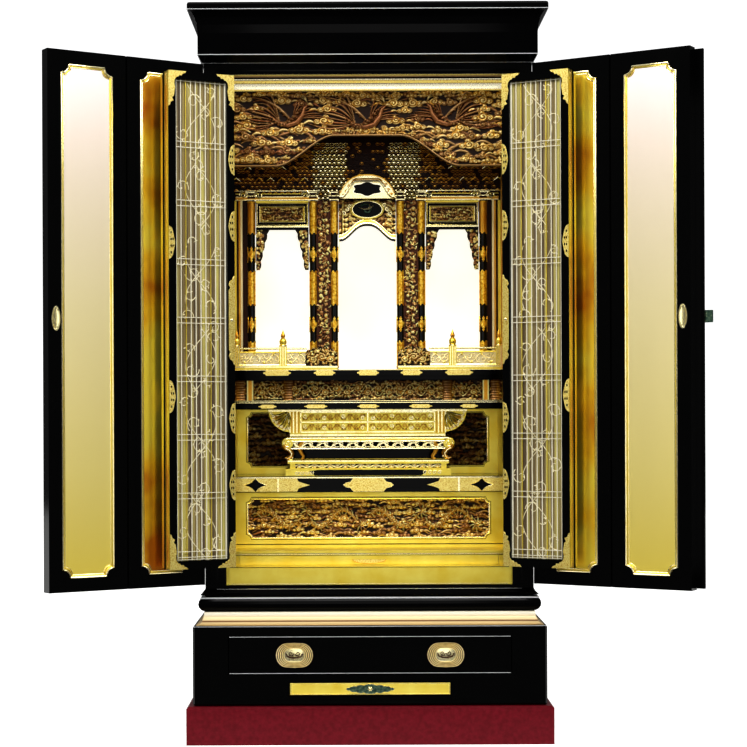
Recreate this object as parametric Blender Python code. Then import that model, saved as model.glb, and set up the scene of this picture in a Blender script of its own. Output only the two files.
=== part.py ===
"""Buddhist altar cabinet: a black lacquer case with a gilt shrine inside, on a red plinth.

Metres, +Z up, the doors face -Y. The origin is the centre of the plinth's underside. The doors
stand open. Each bifold outer leaf and each folding screen hangs from an empty on its hinge axis.
"""
import math

import bmesh
import bpy
from mathutils import Vector

MM = 0.001
FIT = 0.3 * MM               # gap between two pieces that touch
SIDES = ((-1, "left"), (1, "right"))

# Plinth and base
PLINTH_WIDTH = 783 * MM
PLINTH_DEPTH = 640 * MM
PLINTH_HEIGHT = 82 * MM
PLINTH_WALL = 36 * MM
PLINTH_FLOOR = 15 * MM
PLINTH_CHAMFER = 4 * MM
BASE_SETBACK = 13 * MM       # from the plinth's edge, all round
BASE_HEIGHT = 171 * MM
BASE_WALL = 18 * MM
BASE_TOP_BOARD = 23 * MM
BASE_SHELF = 12 * MM         # board that the drawer slides on
DRAWER_WIDTH = 602 * MM
DRAWER_HEIGHT = 76 * MM
DRAWER_DEPTH = 440 * MM
DRAWER_FRONT = 16 * MM
DRAWER_WALL = 10 * MM
DRAWER_FLOOR = 6 * MM
DRAWER_CLEARANCE = 2 * MM
PULL_WIDTH = 81 * MM
PULL_HEIGHT = 54 * MM
PULL_THICKNESS = 6 * MM
PULL_SPACING = 323 * MM
PLAQUE_WIDTH = 341 * MM
PLAQUE_HEIGHT = 25 * MM
PLAQUE_THICKNESS = 3 * MM
PLAQUE_RISE = 23.5 * MM        # its lower edge above the base's lower edge
ORNAMENT_WIDTH = 102 * MM
ORNAMENT_HEIGHT = 21 * MM
ORNAMENT_THICKNESS = 3 * MM

# Case
GILT_MOULDING_HEIGHT = 27 * MM
FOOT_HEIGHT = 34 * MM
FOOT_SIDE = 13 * MM          # how far the foot stands out at the sides
FOOT_FRONT = 42 * MM
FOOT_COVE = 13 * MM          # cove that rises round the body's foot
FOOT_COVE_REACH = 9 * MM
BASE_BEVEL = 4 * MM
MOULDING_INSET = 6 * MM      # the gilt moulding behind the base's edge
BODY_WIDTH = 710 * MM
BODY_DEPTH = 540 * MM
BODY_HEIGHT = 1149 * MM
BODY_SETBACK = 78 * MM       # the body's front behind the plinth's front
WALL = 18 * MM
POST_WIDTH = 45 * MM
POST_DEPTH = 22 * MM
RAIL_BOTTOM = 20 * MM
RAIL_TOP = 22 * MM
REBATE_WIDTH = 20 * MM
REBATE_DEPTH = 8 * MM
REBATE_RISE = 8 * MM
LINING = 12 * MM
LINING_INSET = 5 * MM        # the lining's face behind the opening's edge, towards the centre
CORNICE_BED = 14 * MM
CORNICE_FRIEZE = 46 * MM
CORNICE_COVE = 48 * MM
CORNICE_SIDE = 10.5 * MM
CORNICE_FRONT = 38 * MM
COVE_REACH = 21 * MM
CORNICE_WALL = 24 * MM
ROOF_THICKNESS = 16 * MM
ROOF_ROUND = 6 * MM

# Outer bifold doors
LEAF_THICKNESS = 28 * MM
LEAF_MARGIN = 2 * MM         # leaf above the opening's lower edge
LEAF_OVERLAP_TOP = 21 * MM   # leaf over the top rail
OUTER_PIN_OUT = 4 * MM       # outer pin outside the body's side
OUTER_PIN_FRONT = 10 * MM    # and in front of the body
OUTER_ROD = 3.6 * MM
SEAM_ROD = 2.5 * MM
SEAM_GAP = 3 * MM
CENTRE_GAP = 1 * MM
OUTER_OPEN = 148.0           # degrees from closed, as the doors stand
FIELD_SIDE = 30 * MM         # margin of the gilt field in a leaf
FIELD_END = 29 * MM
FIELD_DEPTH = 4 * MM
FIELD_NOTCH = 17 * MM
STRIP_WIDTH = 36 * MM
STRIP_REACH = 18 * MM
STRIP_THICKNESS = 6 * MM
LATCH_LENGTH = 30 * MM
LATCH_HEIGHT = 26 * MM
LATCH_THICKNESS = 8 * MM
LATCH_REACH = 15 * MM
LATCH_RISE = 555 * MM        # above the leaf's lower edge

# Folding screens inside them
SCREEN_THICKNESS = 22 * MM
SCREEN_BOTTOM = 43 * MM      # screen above the opening's lower edge
SCREEN_TOP = 11 * MM          # and below its upper edge
INNER_PIN_IN = 1 * MM
INNER_PIN_FRONT = 4 * MM
INNER_ROD = 3 * MM
INNER_FACE = 2 * MM          # the closed screen's face behind its pin
FOLD_ROD = 2.5 * MM
FOLD_PIN = 154.5 * MM          # fold hinge from the inner pin
FOLD_OFFSET = 1.5 * MM       # fold pin behind the screen's back
INNER_OPEN = 151.5
STILE = 17.5 * MM
SCREEN_SHEET = 3 * MM

# Shrine, stacked from the opening's lower edge. DEEP_ values run back from the body's front
SILL_HEIGHT = 39 * MM
SILL_FRONT = 20 * MM
SILL_BOARD = 15 * MM
DEEP_SILL = 5 * MM
TRAY_HEIGHT = 25 * MM
TRAY_FRONT = 12 * MM
TRAY_BOARD = 9 * MM
TRAY_LENGTH = 262 * MM
TRAY_CHEEK = 20 * MM         # gilt cheek each side, so that it slides out between the open screens
TRAY_CLEARANCE = 0.7 * MM
TRAY_TAB = 76 * MM
TAB_REACH = 2.5 * MM
DEEP_TRAY = 58 * MM
STEP_THICKNESS = 6 * MM
STEP_RISER = 6 * MM
DEEP_LOWER_PANEL = 170 * MM
PANEL_THICKNESS = 12 * MM
LOWER_PANEL_HEIGHT = 119 * MM
LOWER_WINDOW = (33 * MM, 16 * MM, 16 * MM)  # margins of a window: side, bottom, top
BACK_WINDOW = (25 * MM, 20 * MM, 10 * MM)
WINDOW_NOTCH = 10 * MM
WAVE_MARGIN = 18 * MM        # from a window's end to the carved waves in it
RELIEF_BACK = 6 * MM
RELIEF_LAP = 4 * MM
LOW_BOARD = 36 * MM
LOW_BOARD_TOP = 12 * MM
DEEP_LOW_BOARD = 140 * MM
WAIST_HEIGHT = 150 * MM
DEEP_WAIST = 285 * MM
DEEP_BACK_PANEL = 330 * MM
WAIST_WIDTH = 360 * MM
WAIST_THICKNESS = 42 * MM
WING_WIDTH = 50 * MM
WING_HEIGHT = 52 * MM
MID_BOARD = 20 * MM
DEEP_MID_BOARD = 125 * MM
FRIEZE_HEIGHT = 46 * MM
DEEP_FRIEZE = 198 * MM
TOP_MOULDING = 10 * MM
TOP_BOARD = 13 * MM
DEEP_TOP_BOARD = 165 * MM
DEEP_SHRINE_BACK = 470 * MM
STAND_INSET = 8 * MM         # the stand's ends inside the table's
STAND_DEPTH = 110 * MM
STAND_FOOT = 16 * MM
STAND_BAND = 11 * MM
STAND_TOP = 8 * MM
STAND_STEP = 5 * MM
DEEP_STAND = 170 * MM
TABLE_WIDTH = 390 * MM
TABLE_DEPTH = 86 * MM
TABLE_HEIGHT = 51 * MM
TABLE_TOP = 10 * MM
TABLE_ROLL = 11 * MM         # radius of the scrolled ends
TABLE_APRON = 19 * MM
APRON_THICKNESS = 6 * MM
LEG_WIDTH = 16 * MM
LEG_INSET = 26 * MM
RAILING_HEIGHT = 54 * MM
RAILING_THICKNESS = 9 * MM
RAILING_LEDGE = 8 * MM
RAILING_POST = 18 * MM
RAILING_POST_X = 192 * MM
RAILING_FINIAL = 38 * MM
DEEP_RAILING = 182 * MM
PILLAR_HEIGHT = 388 * MM
PILLAR_RADIUS = 8.5 * MM
SLEEVE_RADIUS = 9.5 * MM
PILLAR_INSET = 40.5 * MM       # outer pillar's axis from the lining
PAIR_OUTER_X = 123.5 * MM
PAIR_INNER_X = 75.5 * MM
DEEP_PILLARS = 225 * MM
TRANSOM_HEIGHT = 62 * MM
TRANSOM_BRACKET = 94 * MM
BRACKET_WIDTH = 28 * MM
TRANSOM_THICKNESS = 12 * MM
ARCH_RISE = 59 * MM          # the arch's crown below the pillars' tops
ARCH_SPRING = 84 * MM
ARCH_LEGS = 120 * MM
ARCH_THICKNESS = 12 * MM
GABLE_HEIGHT = 54 * MM
GABLE_WIDTH = 124 * MM
GABLE_THICKNESS = 26 * MM
DEEP_GABLE = 176 * MM
CANOPY_TIERS = 5
TIER_HEIGHT = 26 * MM
TIER_STEP = 6 * MM
DEEP_CANOPY = 206 * MM
LINTEL_HEIGHT = 29 * MM
LINTEL_THICKNESS = 16 * MM
DEEP_LINTEL = 58 * MM
RANMA_HEIGHT = 167 * MM
RANMA_ARCH = 67 * MM         # how far the arch rises
RANMA_FLAT = 100 * MM        # flat part at each end
RANMA_CROWN = 72 * MM        # half of the level crown
RANMA_RELIEF = 11 * MM

# Places worked out from those sizes
FRONT = -PLINTH_DEPTH / 2 + BODY_SETBACK
BACK = FRONT + BODY_DEPTH
BODY_HALF = BODY_WIDTH / 2
OPEN_HALF = BODY_HALF - POST_WIDTH
INSIDE = OPEN_HALF - LINING_INSET
SPAN = INSIDE - FIT
OUTER_PILLAR_X = INSIDE - PILLAR_INSET
BASE_BOTTOM = PLINTH_HEIGHT
BASE_TOP = BASE_BOTTOM + BASE_HEIGHT
BASE_FRONT = -PLINTH_DEPTH / 2 + BASE_SETBACK
BASE_HALF = PLINTH_WIDTH / 2 - BASE_SETBACK
FOOT_BOTTOM = BASE_TOP + GILT_MOULDING_HEIGHT
FLOOR = FOOT_BOTTOM + FOOT_HEIGHT
BODY_TOP = FLOOR + BODY_HEIGHT
OPEN_BOTTOM = FLOOR + RAIL_BOTTOM
OPEN_TOP = BODY_TOP - RAIL_TOP
SILL_TOP = OPEN_BOTTOM + SILL_HEIGHT
TRAY_TOP = SILL_TOP + TRAY_HEIGHT
STEP_TOP = TRAY_TOP + STEP_THICKNESS + STEP_RISER
LOW_BOTTOM = STEP_TOP + LOWER_PANEL_HEIGHT
LOW_TOP = LOW_BOTTOM + LOW_BOARD
MID_BOTTOM = LOW_TOP + WAIST_HEIGHT
MID_TOP = MID_BOTTOM + MID_BOARD
FRIEZE_TOP = MID_TOP + FRIEZE_HEIGHT
DAIS_TOP = FRIEZE_TOP + TOP_MOULDING + TOP_BOARD
PILLAR_TOP = DAIS_TOP + PILLAR_HEIGHT
CEILING = BODY_TOP - WALL
LINTEL_BOTTOM = CEILING - LINTEL_HEIGHT
STAND_UP = LOW_TOP + STAND_FOOT + STAND_BAND + STAND_TOP
CORNICE_BOTTOM = BODY_TOP
COVE_BOTTOM = CORNICE_BOTTOM + CORNICE_BED + CORNICE_FRIEZE
ROOF_BOTTOM = COVE_BOTTOM + CORNICE_COVE


def deep(distance):
    """Y of a plane this far behind the body's front."""
    return FRONT + distance


def material(name, colour, roughness, metallic=0.0):
    """A Principled material of one colour."""
    made = bpy.data.materials.new(name)
    made.use_nodes = True
    shader = made.node_tree.nodes["Principled BSDF"]
    shader.inputs["Base Color"].default_value = (*colour, 1.0)
    shader.inputs["Roughness"].default_value = roughness
    shader.inputs["Metallic"].default_value = metallic
    return made


def finish(name, bm, mat, parent=None, at=(0, 0, 0), smooth=None):
    """Turns a bmesh into an object with outward faces."""
    bmesh.ops.remove_doubles(bm, verts=bm.verts, dist=1e-7)
    bmesh.ops.recalc_face_normals(bm, faces=bm.faces)
    mesh = bpy.data.meshes.new(name)
    bm.to_mesh(mesh)
    bm.free()
    mesh.materials.append(mat)
    obj = bpy.data.objects.new(name, mesh)
    bpy.context.scene.collection.objects.link(obj)
    obj.parent = parent
    obj.location = at
    if smooth is not None:
        mesh.shade_smooth()
        mesh.set_sharp_from_angle(angle=math.radians(smooth))
    return obj


def loft(name, rings, mat, **place):
    """A closed solid through rings of equally many points, capped at both ends."""
    bm = bmesh.new()
    rows = [[bm.verts.new(p) for p in ring] for ring in rings]
    count = len(rows[0])
    for lower, upper in zip(rows, rows[1:]):
        for i in range(count):
            j = (i + 1) % count
            bm.faces.new((lower[i], lower[j], upper[j], upper[i]))
    bm.faces.new(rows[0])
    bm.faces.new(rows[-1])
    return finish(name, bm, mat, **place)


def tube(name, outer, inner, mat, **place):
    """A frame: outer rings and inner rings, joined at their two ends."""
    bm = bmesh.new()
    rings = [*outer, *reversed(inner)]
    rows = [[bm.verts.new(p) for p in ring] for ring in rings]
    count = len(rows[0])
    for lower, upper in zip(rows, rows[1:] + rows[:1]):
        for i in range(count):
            j = (i + 1) % count
            bm.faces.new((lower[i], lower[j], upper[j], upper[i]))
    return finish(name, bm, mat, **place)


def level(z, half, front, back):
    """A rectangle at height z."""
    return [(-half, front, z), (half, front, z), (half, back, z), (-half, back, z)]


def upright(y, half, bottom, top):
    """A rectangle in the plane y."""
    return [(-half, y, bottom), (half, y, bottom), (half, y, top), (-half, y, top)]


def board(name, low, high, mat, bevel=0.0, parent=None):
    """A box between two corners, with its origin in its middle."""
    centre = [(a + b) / 2 for a, b in zip(low, high)]
    half = [(b - a) / 2 for a, b in zip(low, high)]
    bm = bmesh.new()
    bmesh.ops.create_cube(bm, size=2.0)
    bmesh.ops.scale(bm, vec=half, verts=bm.verts)
    obj = finish(name, bm, mat, parent=parent, at=centre)
    if bevel:
        add_bevel(obj, bevel)
    return obj


def add_bevel(obj, width):
    """Breaks an object's sharp edges by one flat chamfer."""
    made = obj.modifiers.new("Bevel", "BEVEL")
    made.width = width
    made.segments = 1
    made.limit_method = "ANGLE"
    made.angle_limit = math.radians(50)


def prism(name, outline, axis, start, end, mat, **place):
    """An outline extruded along x, y or z. The outline gives the other two, in that order."""
    def point(p, along):
        rest = list(p)
        rest.insert("xyz".index(axis), along)
        return rest
    rings = [[point(p, start) for p in outline], [point(p, end) for p in outline]]
    return loft(name, rings, mat, **place)


def boolean(target, tool, operation):
    """Cuts or joins a hidden tool shape."""
    made = target.modifiers.new(operation.title(), "BOOLEAN")
    made.operation = operation
    made.object = tool
    tool.hide_render = True
    tool.display_type = "WIRE"


def cut_box(target, low, high, parent=None):
    """Cuts a box from a solid."""
    tool = board(f"cutter_{target.name}_{len(target.modifiers)}", low, high, WOOD, parent=parent)
    boolean(target, tool, "DIFFERENCE")


def disc(radius, sides, centre=(0, 0)):
    """Points of a circle."""
    return [
        (centre[0] + radius * math.cos(math.tau * i / sides),
         centre[1] + radius * math.sin(math.tau * i / sides))
        for i in range(sides)
    ]


def notched(half_x, half_z, notch, centre=(0, 0), steps=3):
    """A rectangle whose corners are hollowed by quarter circles."""
    points = []
    for sx, sz, first in ((1, 1, 270), (-1, 1, 0), (-1, -1, 90), (1, -1, 180)):
        for i in range(steps + 1):
            angle = math.radians(first - 90 * i / steps)
            points.append((centre[0] + sx * half_x + notch * math.cos(angle),
                           centre[1] + sz * half_z + notch * math.sin(angle)))
    return points


def join_rod(target, radius, bottom, top, parent, name):
    """Joins a hinge rod that stands on its parent's axis."""
    rod = prism(name, disc(radius, 10), "z", bottom, top, GILT, parent=parent)
    boolean(target, rod, "UNION")


# Materials, in the photograph's colours
WOOD = material("wood", (0.32, 0.2, 0.1), 0.6)
LACQUER = material("black_lacquer", (0.006, 0.006, 0.007), 0.08)
GILT = material("gilt", (0.86, 0.62, 0.13), 0.3, 1.0)
CARVED = material("carved_gilt", (0.52, 0.27, 0.08), 0.45, 0.6)
DARK_CARVING = material("dark_carving", (0.05, 0.035, 0.02), 0.5, 0.3)
RED = material("plinth_red", (0.16, 0.012, 0.02), 0.35)
PALE = material("pale_panel", (0.9, 0.86, 0.7), 0.6)
SILK = material("screen_silk", (0.36, 0.27, 0.14), 0.55, 0.4)
BRONZE = material("green_bronze", (0.03, 0.06, 0.045), 0.4, 0.8)


# Relief: a carved face is the highest of a few ridges and domes

def ridge(path, width, height):
    """Height of a rounded ridge along a polyline, tapering to its ends."""
    points = [Vector(p) for p in path]
    spans = list(zip(points, points[1:]))

    def at(x, z):
        best = 0.0
        for i, (a, b) in enumerate(spans):
            along = b - a
            t = max(0.0, min(1.0, (Vector((x, z)) - a).dot(along) / along.length_squared))
            away = (a + along * t - Vector((x, z))).length
            share = (i + t) / len(spans)
            half = width * (0.35 + 0.65 * math.sin(math.pi * share))
            best = max(best, height * (1 - (away / half) ** 2))
        return best
    return at


def dome(x0, z0, rx, rz, height):
    """Height of an oval mound."""
    def at(x, z):
        return height * max(0.0, 1 - ((x - x0) / rx) ** 2 - ((z - z0) / rz) ** 2)
    return at


def clouds(left, right, bottom, top, pitch, height):
    """Mounds in staggered rows, larger and smaller by turns."""
    rows = max(1, round((top - bottom) / pitch))
    columns = max(2, round((right - left) / (1.6 * pitch)))
    made = []
    for row in range(rows):
        z0 = bottom + (row + 0.5) * (top - bottom) / rows
        for column in range(columns):
            x0 = left + (column + 0.5 + 0.5 * (row % 2)) * (right - left) / columns
            size = 0.85 + 0.3 * math.sin(2.3 * column + 1.7 * row)
            made.append(dome(x0, z0, 0.85 * pitch * size, 0.5 * pitch * size, height * size))
    return made


def wave_path(x0, z0, length, swing, turns, points=9):
    """A flowing line, as of a flying figure or a vine."""
    return [
        (x0 + length * i / (points - 1),
         z0 + swing * math.sin(math.tau * turns * i / (points - 1)))
        for i in range(points)
    ]


def carve(name, half, bottom, top, back, thickness, shapes, cells, mat, margin=0.0, most=None):
    """A board whose front carries the shapes. bottom and top are functions of x."""
    columns, rows = cells
    bm = bmesh.new()
    front, rear = [], []
    for row in range(rows + 1):
        front.append([])
        for column in range(columns + 1):
            x = -half + 2 * half * column / columns
            z = bottom(x) + (top(x) - bottom(x)) * row / rows
            edge = min(half - abs(x), z - bottom(x), top(x) - z)
            high = max((s(x, z) for s in shapes), default=0.0) if edge > margin else 0.0
            high = min(max(high, 0.0), most or high)
            front[-1].append(bm.verts.new((x, back - thickness - high, z)))
    for row in range(rows):
        for column in range(columns):
            bm.faces.new((front[row][column], front[row][column + 1],
                          front[row + 1][column + 1], front[row + 1][column]))
    rim = (front[0] + [r[-1] for r in front[1:]] + front[-1][-2::-1]
           + [r[0] for r in front[-2:0:-1]])
    rear = [bm.verts.new((v.co.x, back, v.co.z)) for v in rim]
    for i, vertex in enumerate(rim):
        j = (i + 1) % len(rim)
        bm.faces.new((vertex, rear[i], rear[j], rim[j]))
    bm.faces.new(rear)
    return finish(name, bm, mat, smooth=40)


def flat(z):
    """A level edge."""
    return lambda x: z


# Plinth and base

def build_plinth():
    half, side = PLINTH_WIDTH / 2, PLINTH_DEPTH / 2
    top = PLINTH_HEIGHT - FIT
    inner, deep_inner = half - PLINTH_WALL, side - PLINTH_WALL
    cut = PLINTH_CHAMFER
    loft("plinth", [
        level(0, half, -side, side),
        level(top - cut, half, -side, side),
        level(top, half - cut, -side + cut, side - cut),
        level(top, inner, -deep_inner, deep_inner),
        level(PLINTH_FLOOR, inner, -deep_inner, deep_inner),
    ], RED)


def build_base():
    back = PLINTH_DEPTH / 2 - BASE_SETBACK
    box = board("base_box", (-BASE_HALF, BASE_FRONT, BASE_BOTTOM), (BASE_HALF, back, BASE_TOP - FIT),
                LACQUER, bevel=BASE_BEVEL)
    bay_half = BASE_HALF - BASE_WALL
    slot = DRAWER_WIDTH / 2 + DRAWER_CLEARANCE
    bay_bottom = DRAWER_BOTTOM - DRAWER_CLEARANCE
    bay_top = DRAWER_BOTTOM + DRAWER_HEIGHT + DRAWER_CLEARANCE
    past = BASE_WALL
    cut_box(box, (-bay_half, BASE_FRONT + BASE_WALL, bay_bottom), (bay_half, back - BASE_WALL, bay_top))
    cut_box(box, (-slot, BASE_FRONT - past, bay_bottom), (slot, BASE_FRONT + 2 * past, bay_top))
    cut_box(box, (-bay_half, BASE_FRONT + BASE_WALL, BASE_BOTTOM - past),
            (bay_half, back - BASE_WALL, bay_bottom - BASE_SHELF))
    bottom = BASE_BOTTOM + PLAQUE_RISE
    face = BASE_FRONT - FIT
    board("base_plaque", (-PLAQUE_WIDTH / 2, face - PLAQUE_THICKNESS, bottom),
          (PLAQUE_WIDTH / 2, face, bottom + PLAQUE_HEIGHT), GILT, bevel=0.6 * MM)
    centre = bottom + PLAQUE_HEIGHT / 2
    face -= PLAQUE_THICKNESS + FIT
    outline = [
        (ORNAMENT_WIDTH / 2 * math.cos(a) * (0.8 + 0.2 * abs(math.cos(a)) ** 3),
         centre + ORNAMENT_HEIGHT / 2 * math.sin(a) * (0.86 + 0.14 * math.cos(4 * a)))
        for a in (math.tau * i / 32 for i in range(32))
    ]
    prism("base_ornament", outline, "y", face - ORNAMENT_THICKNESS, face, BRONZE)


def build_case():
    steps = 4
    cove = []
    reach = BASE_HALF - MOULDING_INSET - BODY_HALF
    for i in range(steps + 1):
        angle = math.pi / 2 * i / steps
        inset = reach * math.sin(angle)
        z = BASE_TOP + (GILT_MOULDING_HEIGHT - FIT) * (1 - math.cos(angle))
        cove.append(level(z, BASE_HALF - MOULDING_INSET - inset, BASE_FRONT + MOULDING_INSET + inset,
                          BACK))
    hollow = [level(z, BODY_HALF - WALL, deep(WALL), BACK - WALL)
              for z in (BASE_TOP, FOOT_BOTTOM - FIT)]
    tube("base_moulding", cove, hollow, GILT)

    radius = (FOOT_HEIGHT - FIT) / 2
    rings = []
    rear = BACK + 4 * MM
    for i in range(2 * steps + 1):
        angle = -math.pi / 2 + math.pi * i / (2 * steps)
        out = radius * math.cos(angle) - radius
        rings.append(level(FOOT_BOTTOM + radius + radius * math.sin(angle),
                           BODY_HALF + FOOT_SIDE + out, FRONT - FOOT_FRONT - out, rear))
    for i in range(steps):
        angle = math.pi / 2 * i / steps
        out = 2 * MM + FOOT_COVE_REACH * (1 - math.sin(angle))
        rings.append(level(FLOOR + FOOT_COVE * (1 - math.cos(angle)), BODY_HALF + out,
                           FRONT - REBATE_DEPTH - out, rear))
    for z in (FLOOR + FOOT_COVE, FLOOR - FIT):
        rings.append(level(z, BODY_HALF + FIT, FRONT - REBATE_DEPTH - FIT, BACK + FIT))
    loft("foot_board", rings, LACQUER, smooth=50)

    rear = BACK - WALL - FIT
    for side, word in SIDES:
        xs = sorted((side * BODY_HALF, side * (BODY_HALF - WALL)))
        board(f"side_{word}", (xs[0], deep(POST_DEPTH) + FIT, FLOOR), (xs[1], rear, BODY_TOP - FIT),
              LACQUER, bevel=MM)
        xs = sorted((side * INSIDE, side * (INSIDE + LINING)))
        board(f"lining_{word}", (xs[0], deep(POST_DEPTH) + FIT, FLOOR),
              (xs[1], deep(DEEP_SHRINE_BACK) - FIT, CEILING - FIT), GILT)
    board("back_board", (-BODY_HALF, BACK - WALL, FLOOR), (BODY_HALF, BACK, BODY_TOP - FIT),
          LACQUER, bevel=MM)
    inner = BODY_HALF - WALL - FIT
    board("ceiling_board", (-inner, deep(POST_DEPTH) + FIT, CEILING), (inner, rear, BODY_TOP - FIT), WOOD)

    proud = deep(-REBATE_DEPTH)
    wide = OPEN_HALF + REBATE_WIDTH
    outer = [upright(y, BODY_HALF, FLOOR, BODY_TOP - FIT) for y in (proud, deep(POST_DEPTH))]
    hole = [
        upright(proud, wide, OPEN_BOTTOM - REBATE_RISE, OPEN_TOP + REBATE_RISE),
        upright(FRONT, wide, OPEN_BOTTOM - REBATE_RISE, OPEN_TOP + REBATE_RISE),
        upright(FRONT, OPEN_HALF, OPEN_BOTTOM, OPEN_TOP),
        upright(deep(POST_DEPTH), OPEN_HALF, OPEN_BOTTOM, OPEN_TOP),
    ]
    tube("front_frame", outer, hole, LACQUER)


def build_cornice():
    steps = 4
    side, front = BODY_HALF + CORNICE_SIDE, FRONT - CORNICE_FRONT
    profile = [(CORNICE_BOTTOM, BODY_HALF + 2 * MM, FRONT - 14 * MM),
               (CORNICE_BOTTOM + CORNICE_BED, side, front),
               (COVE_BOTTOM, side, front)]
    for i in range(1, steps + 1):
        angle = math.pi / 2 * i / steps
        out = COVE_REACH * (1 - math.cos(angle))
        profile.append((COVE_BOTTOM + (CORNICE_COVE - FIT) * math.sin(angle), side + out, front - out))
    outer = [level(z, half, y, BACK) for z, half, y in profile]
    hollow = [level(z, BODY_HALF - CORNICE_WALL, deep(CORNICE_WALL), BACK - CORNICE_WALL)
              for z in (CORNICE_BOTTOM, ROOF_BOTTOM - FIT)]
    tube("cornice", outer, hollow, LACQUER, smooth=30)
    half, y = side + COVE_REACH, front - COVE_REACH
    top = ROOF_BOTTOM + ROOF_THICKNESS
    loft("roof_board", [
        level(ROOF_BOTTOM, half, y, BACK),
        level(top - ROOF_ROUND, half, y, BACK),
        level(top - 0.3 * ROOF_ROUND, half - 0.3 * ROOF_ROUND, y + 0.3 * ROOF_ROUND, BACK),
        level(top, half - ROOF_ROUND, y + ROOF_ROUND, BACK),
    ], LACQUER)


# Shrine

def build_steps():
    """Sill, pull-out offering board and the step over it."""
    bottom, top = OPEN_BOTTOM + FIT, SILL_TOP - FIT
    front, riser = deep(DEEP_SILL), deep(DEEP_SILL + SILL_FRONT)
    rear = deep(DEEP_BACK_PANEL)
    sill = prism("gilt_sill", [(front, bottom), (riser, bottom), (riser, top - SILL_BOARD),
                               (rear, top - SILL_BOARD), (rear, top), (front, top)],
                 "x", -SPAN, SPAN, GILT)
    front = deep(DEEP_TRAY)
    half = SPAN - TRAY_CHEEK - TRAY_CLEARANCE
    for side, word in SIDES:
        xs = sorted((side * SPAN, side * (half + TRAY_CLEARANCE)))
        cheek = board(f"cheek_{word}", (xs[0], front, top - 2 * MM),
                      (xs[1], front + TRAY_LENGTH, TRAY_TOP - FIT), GILT)
        boolean(sill, cheek, "UNION")
    tray = prism("offering_tray", [
        (front, SILL_TOP), (front + TRAY_LENGTH, SILL_TOP), (front + TRAY_LENGTH, SILL_TOP + TRAY_BOARD),
        (front + TRAY_FRONT, SILL_TOP + TRAY_BOARD), (front + TRAY_FRONT, TRAY_TOP - MM),
        (front, TRAY_TOP - MM)], "x", -half, half, GILT)
    tab = [(TRAY_TAB / 2 * math.cos(math.pi * i / 8), SILL_TOP + MM + 6 * MM * math.sin(math.pi * i / 8))
           for i in range(9)]
    boolean(tray, prism("tray_tab", tab, "y", front - TAB_REACH, front + MM, GILT), "UNION")
    riser = deep(DEEP_LOWER_PANEL) - 10 * MM
    rear = deep(DEEP_LOWER_PANEL) + PANEL_THICKNESS + RELIEF_BACK + MM
    low, high = TRAY_TOP, TRAY_TOP + STEP_THICKNESS
    prism("lower_step", [(front, low), (rear, low), (rear, STEP_TOP - FIT), (riser, STEP_TOP - FIT),
                         (riser, high), (front, high)], "x", -SPAN, SPAN, GILT)


def windowed(name, depth, bottom, top, margins, mat):
    """A panel across the shrine with a notched window. margins are its side, bottom and top."""
    side, low, high = margins
    made = board(name, (-SPAN, deep(depth), bottom), (SPAN, deep(depth) + PANEL_THICKNESS, top), mat)
    half_z = (top - high - bottom - low) / 2
    outline = notched(SPAN - side, half_z, WINDOW_NOTCH, (0, (top - high + bottom + low) / 2))
    tool = prism(f"cutter_{name}", outline, "y", deep(depth) - MM, deep(depth) + PANEL_THICKNESS + MM, WOOD)
    boolean(made, tool, "DIFFERENCE")


def window_relief(name, depth, bottom, top, margins, shapes, cells, mat):
    """The carving behind a panel's window, standing forward into it."""
    low, high = bottom + margins[1] - RELIEF_LAP, top - margins[2] + RELIEF_LAP
    back = deep(depth) + PANEL_THICKNESS + FIT + RELIEF_BACK
    half = SPAN - margins[0] + RELIEF_LAP
    cell = max(2 * half / cells[0], (high - low) / cells[1])
    carve(name, half, flat(low), flat(high), back, RELIEF_BACK, shapes, cells, mat,
          margin=RELIEF_LAP + cell + 0.4 * WINDOW_NOTCH, most=PANEL_THICKNESS - MM)


def build_lower_panel():
    bottom, top = STEP_TOP, LOW_BOTTOM - FIT
    windowed("lower_panel", DEEP_LOWER_PANEL, bottom, top, LOWER_WINDOW, GILT)
    middle = (bottom + top) / 2
    side, low, high = LOWER_WINDOW
    half = SPAN - side
    shapes = clouds(-half, half, bottom + low, top - high, 24 * MM, 6 * MM)
    run = half - 2 * WAVE_MARGIN
    shapes += [ridge(wave_path(x0, middle, run, swing, 1.5), 10 * MM, 10 * MM)
               for x0, swing in ((-half + WAVE_MARGIN, 16 * MM), (WAVE_MARGIN, -14 * MM))]
    window_relief("lower_carving", DEEP_LOWER_PANEL, bottom, top, LOWER_WINDOW, shapes, (46, 8), CARVED)


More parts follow.
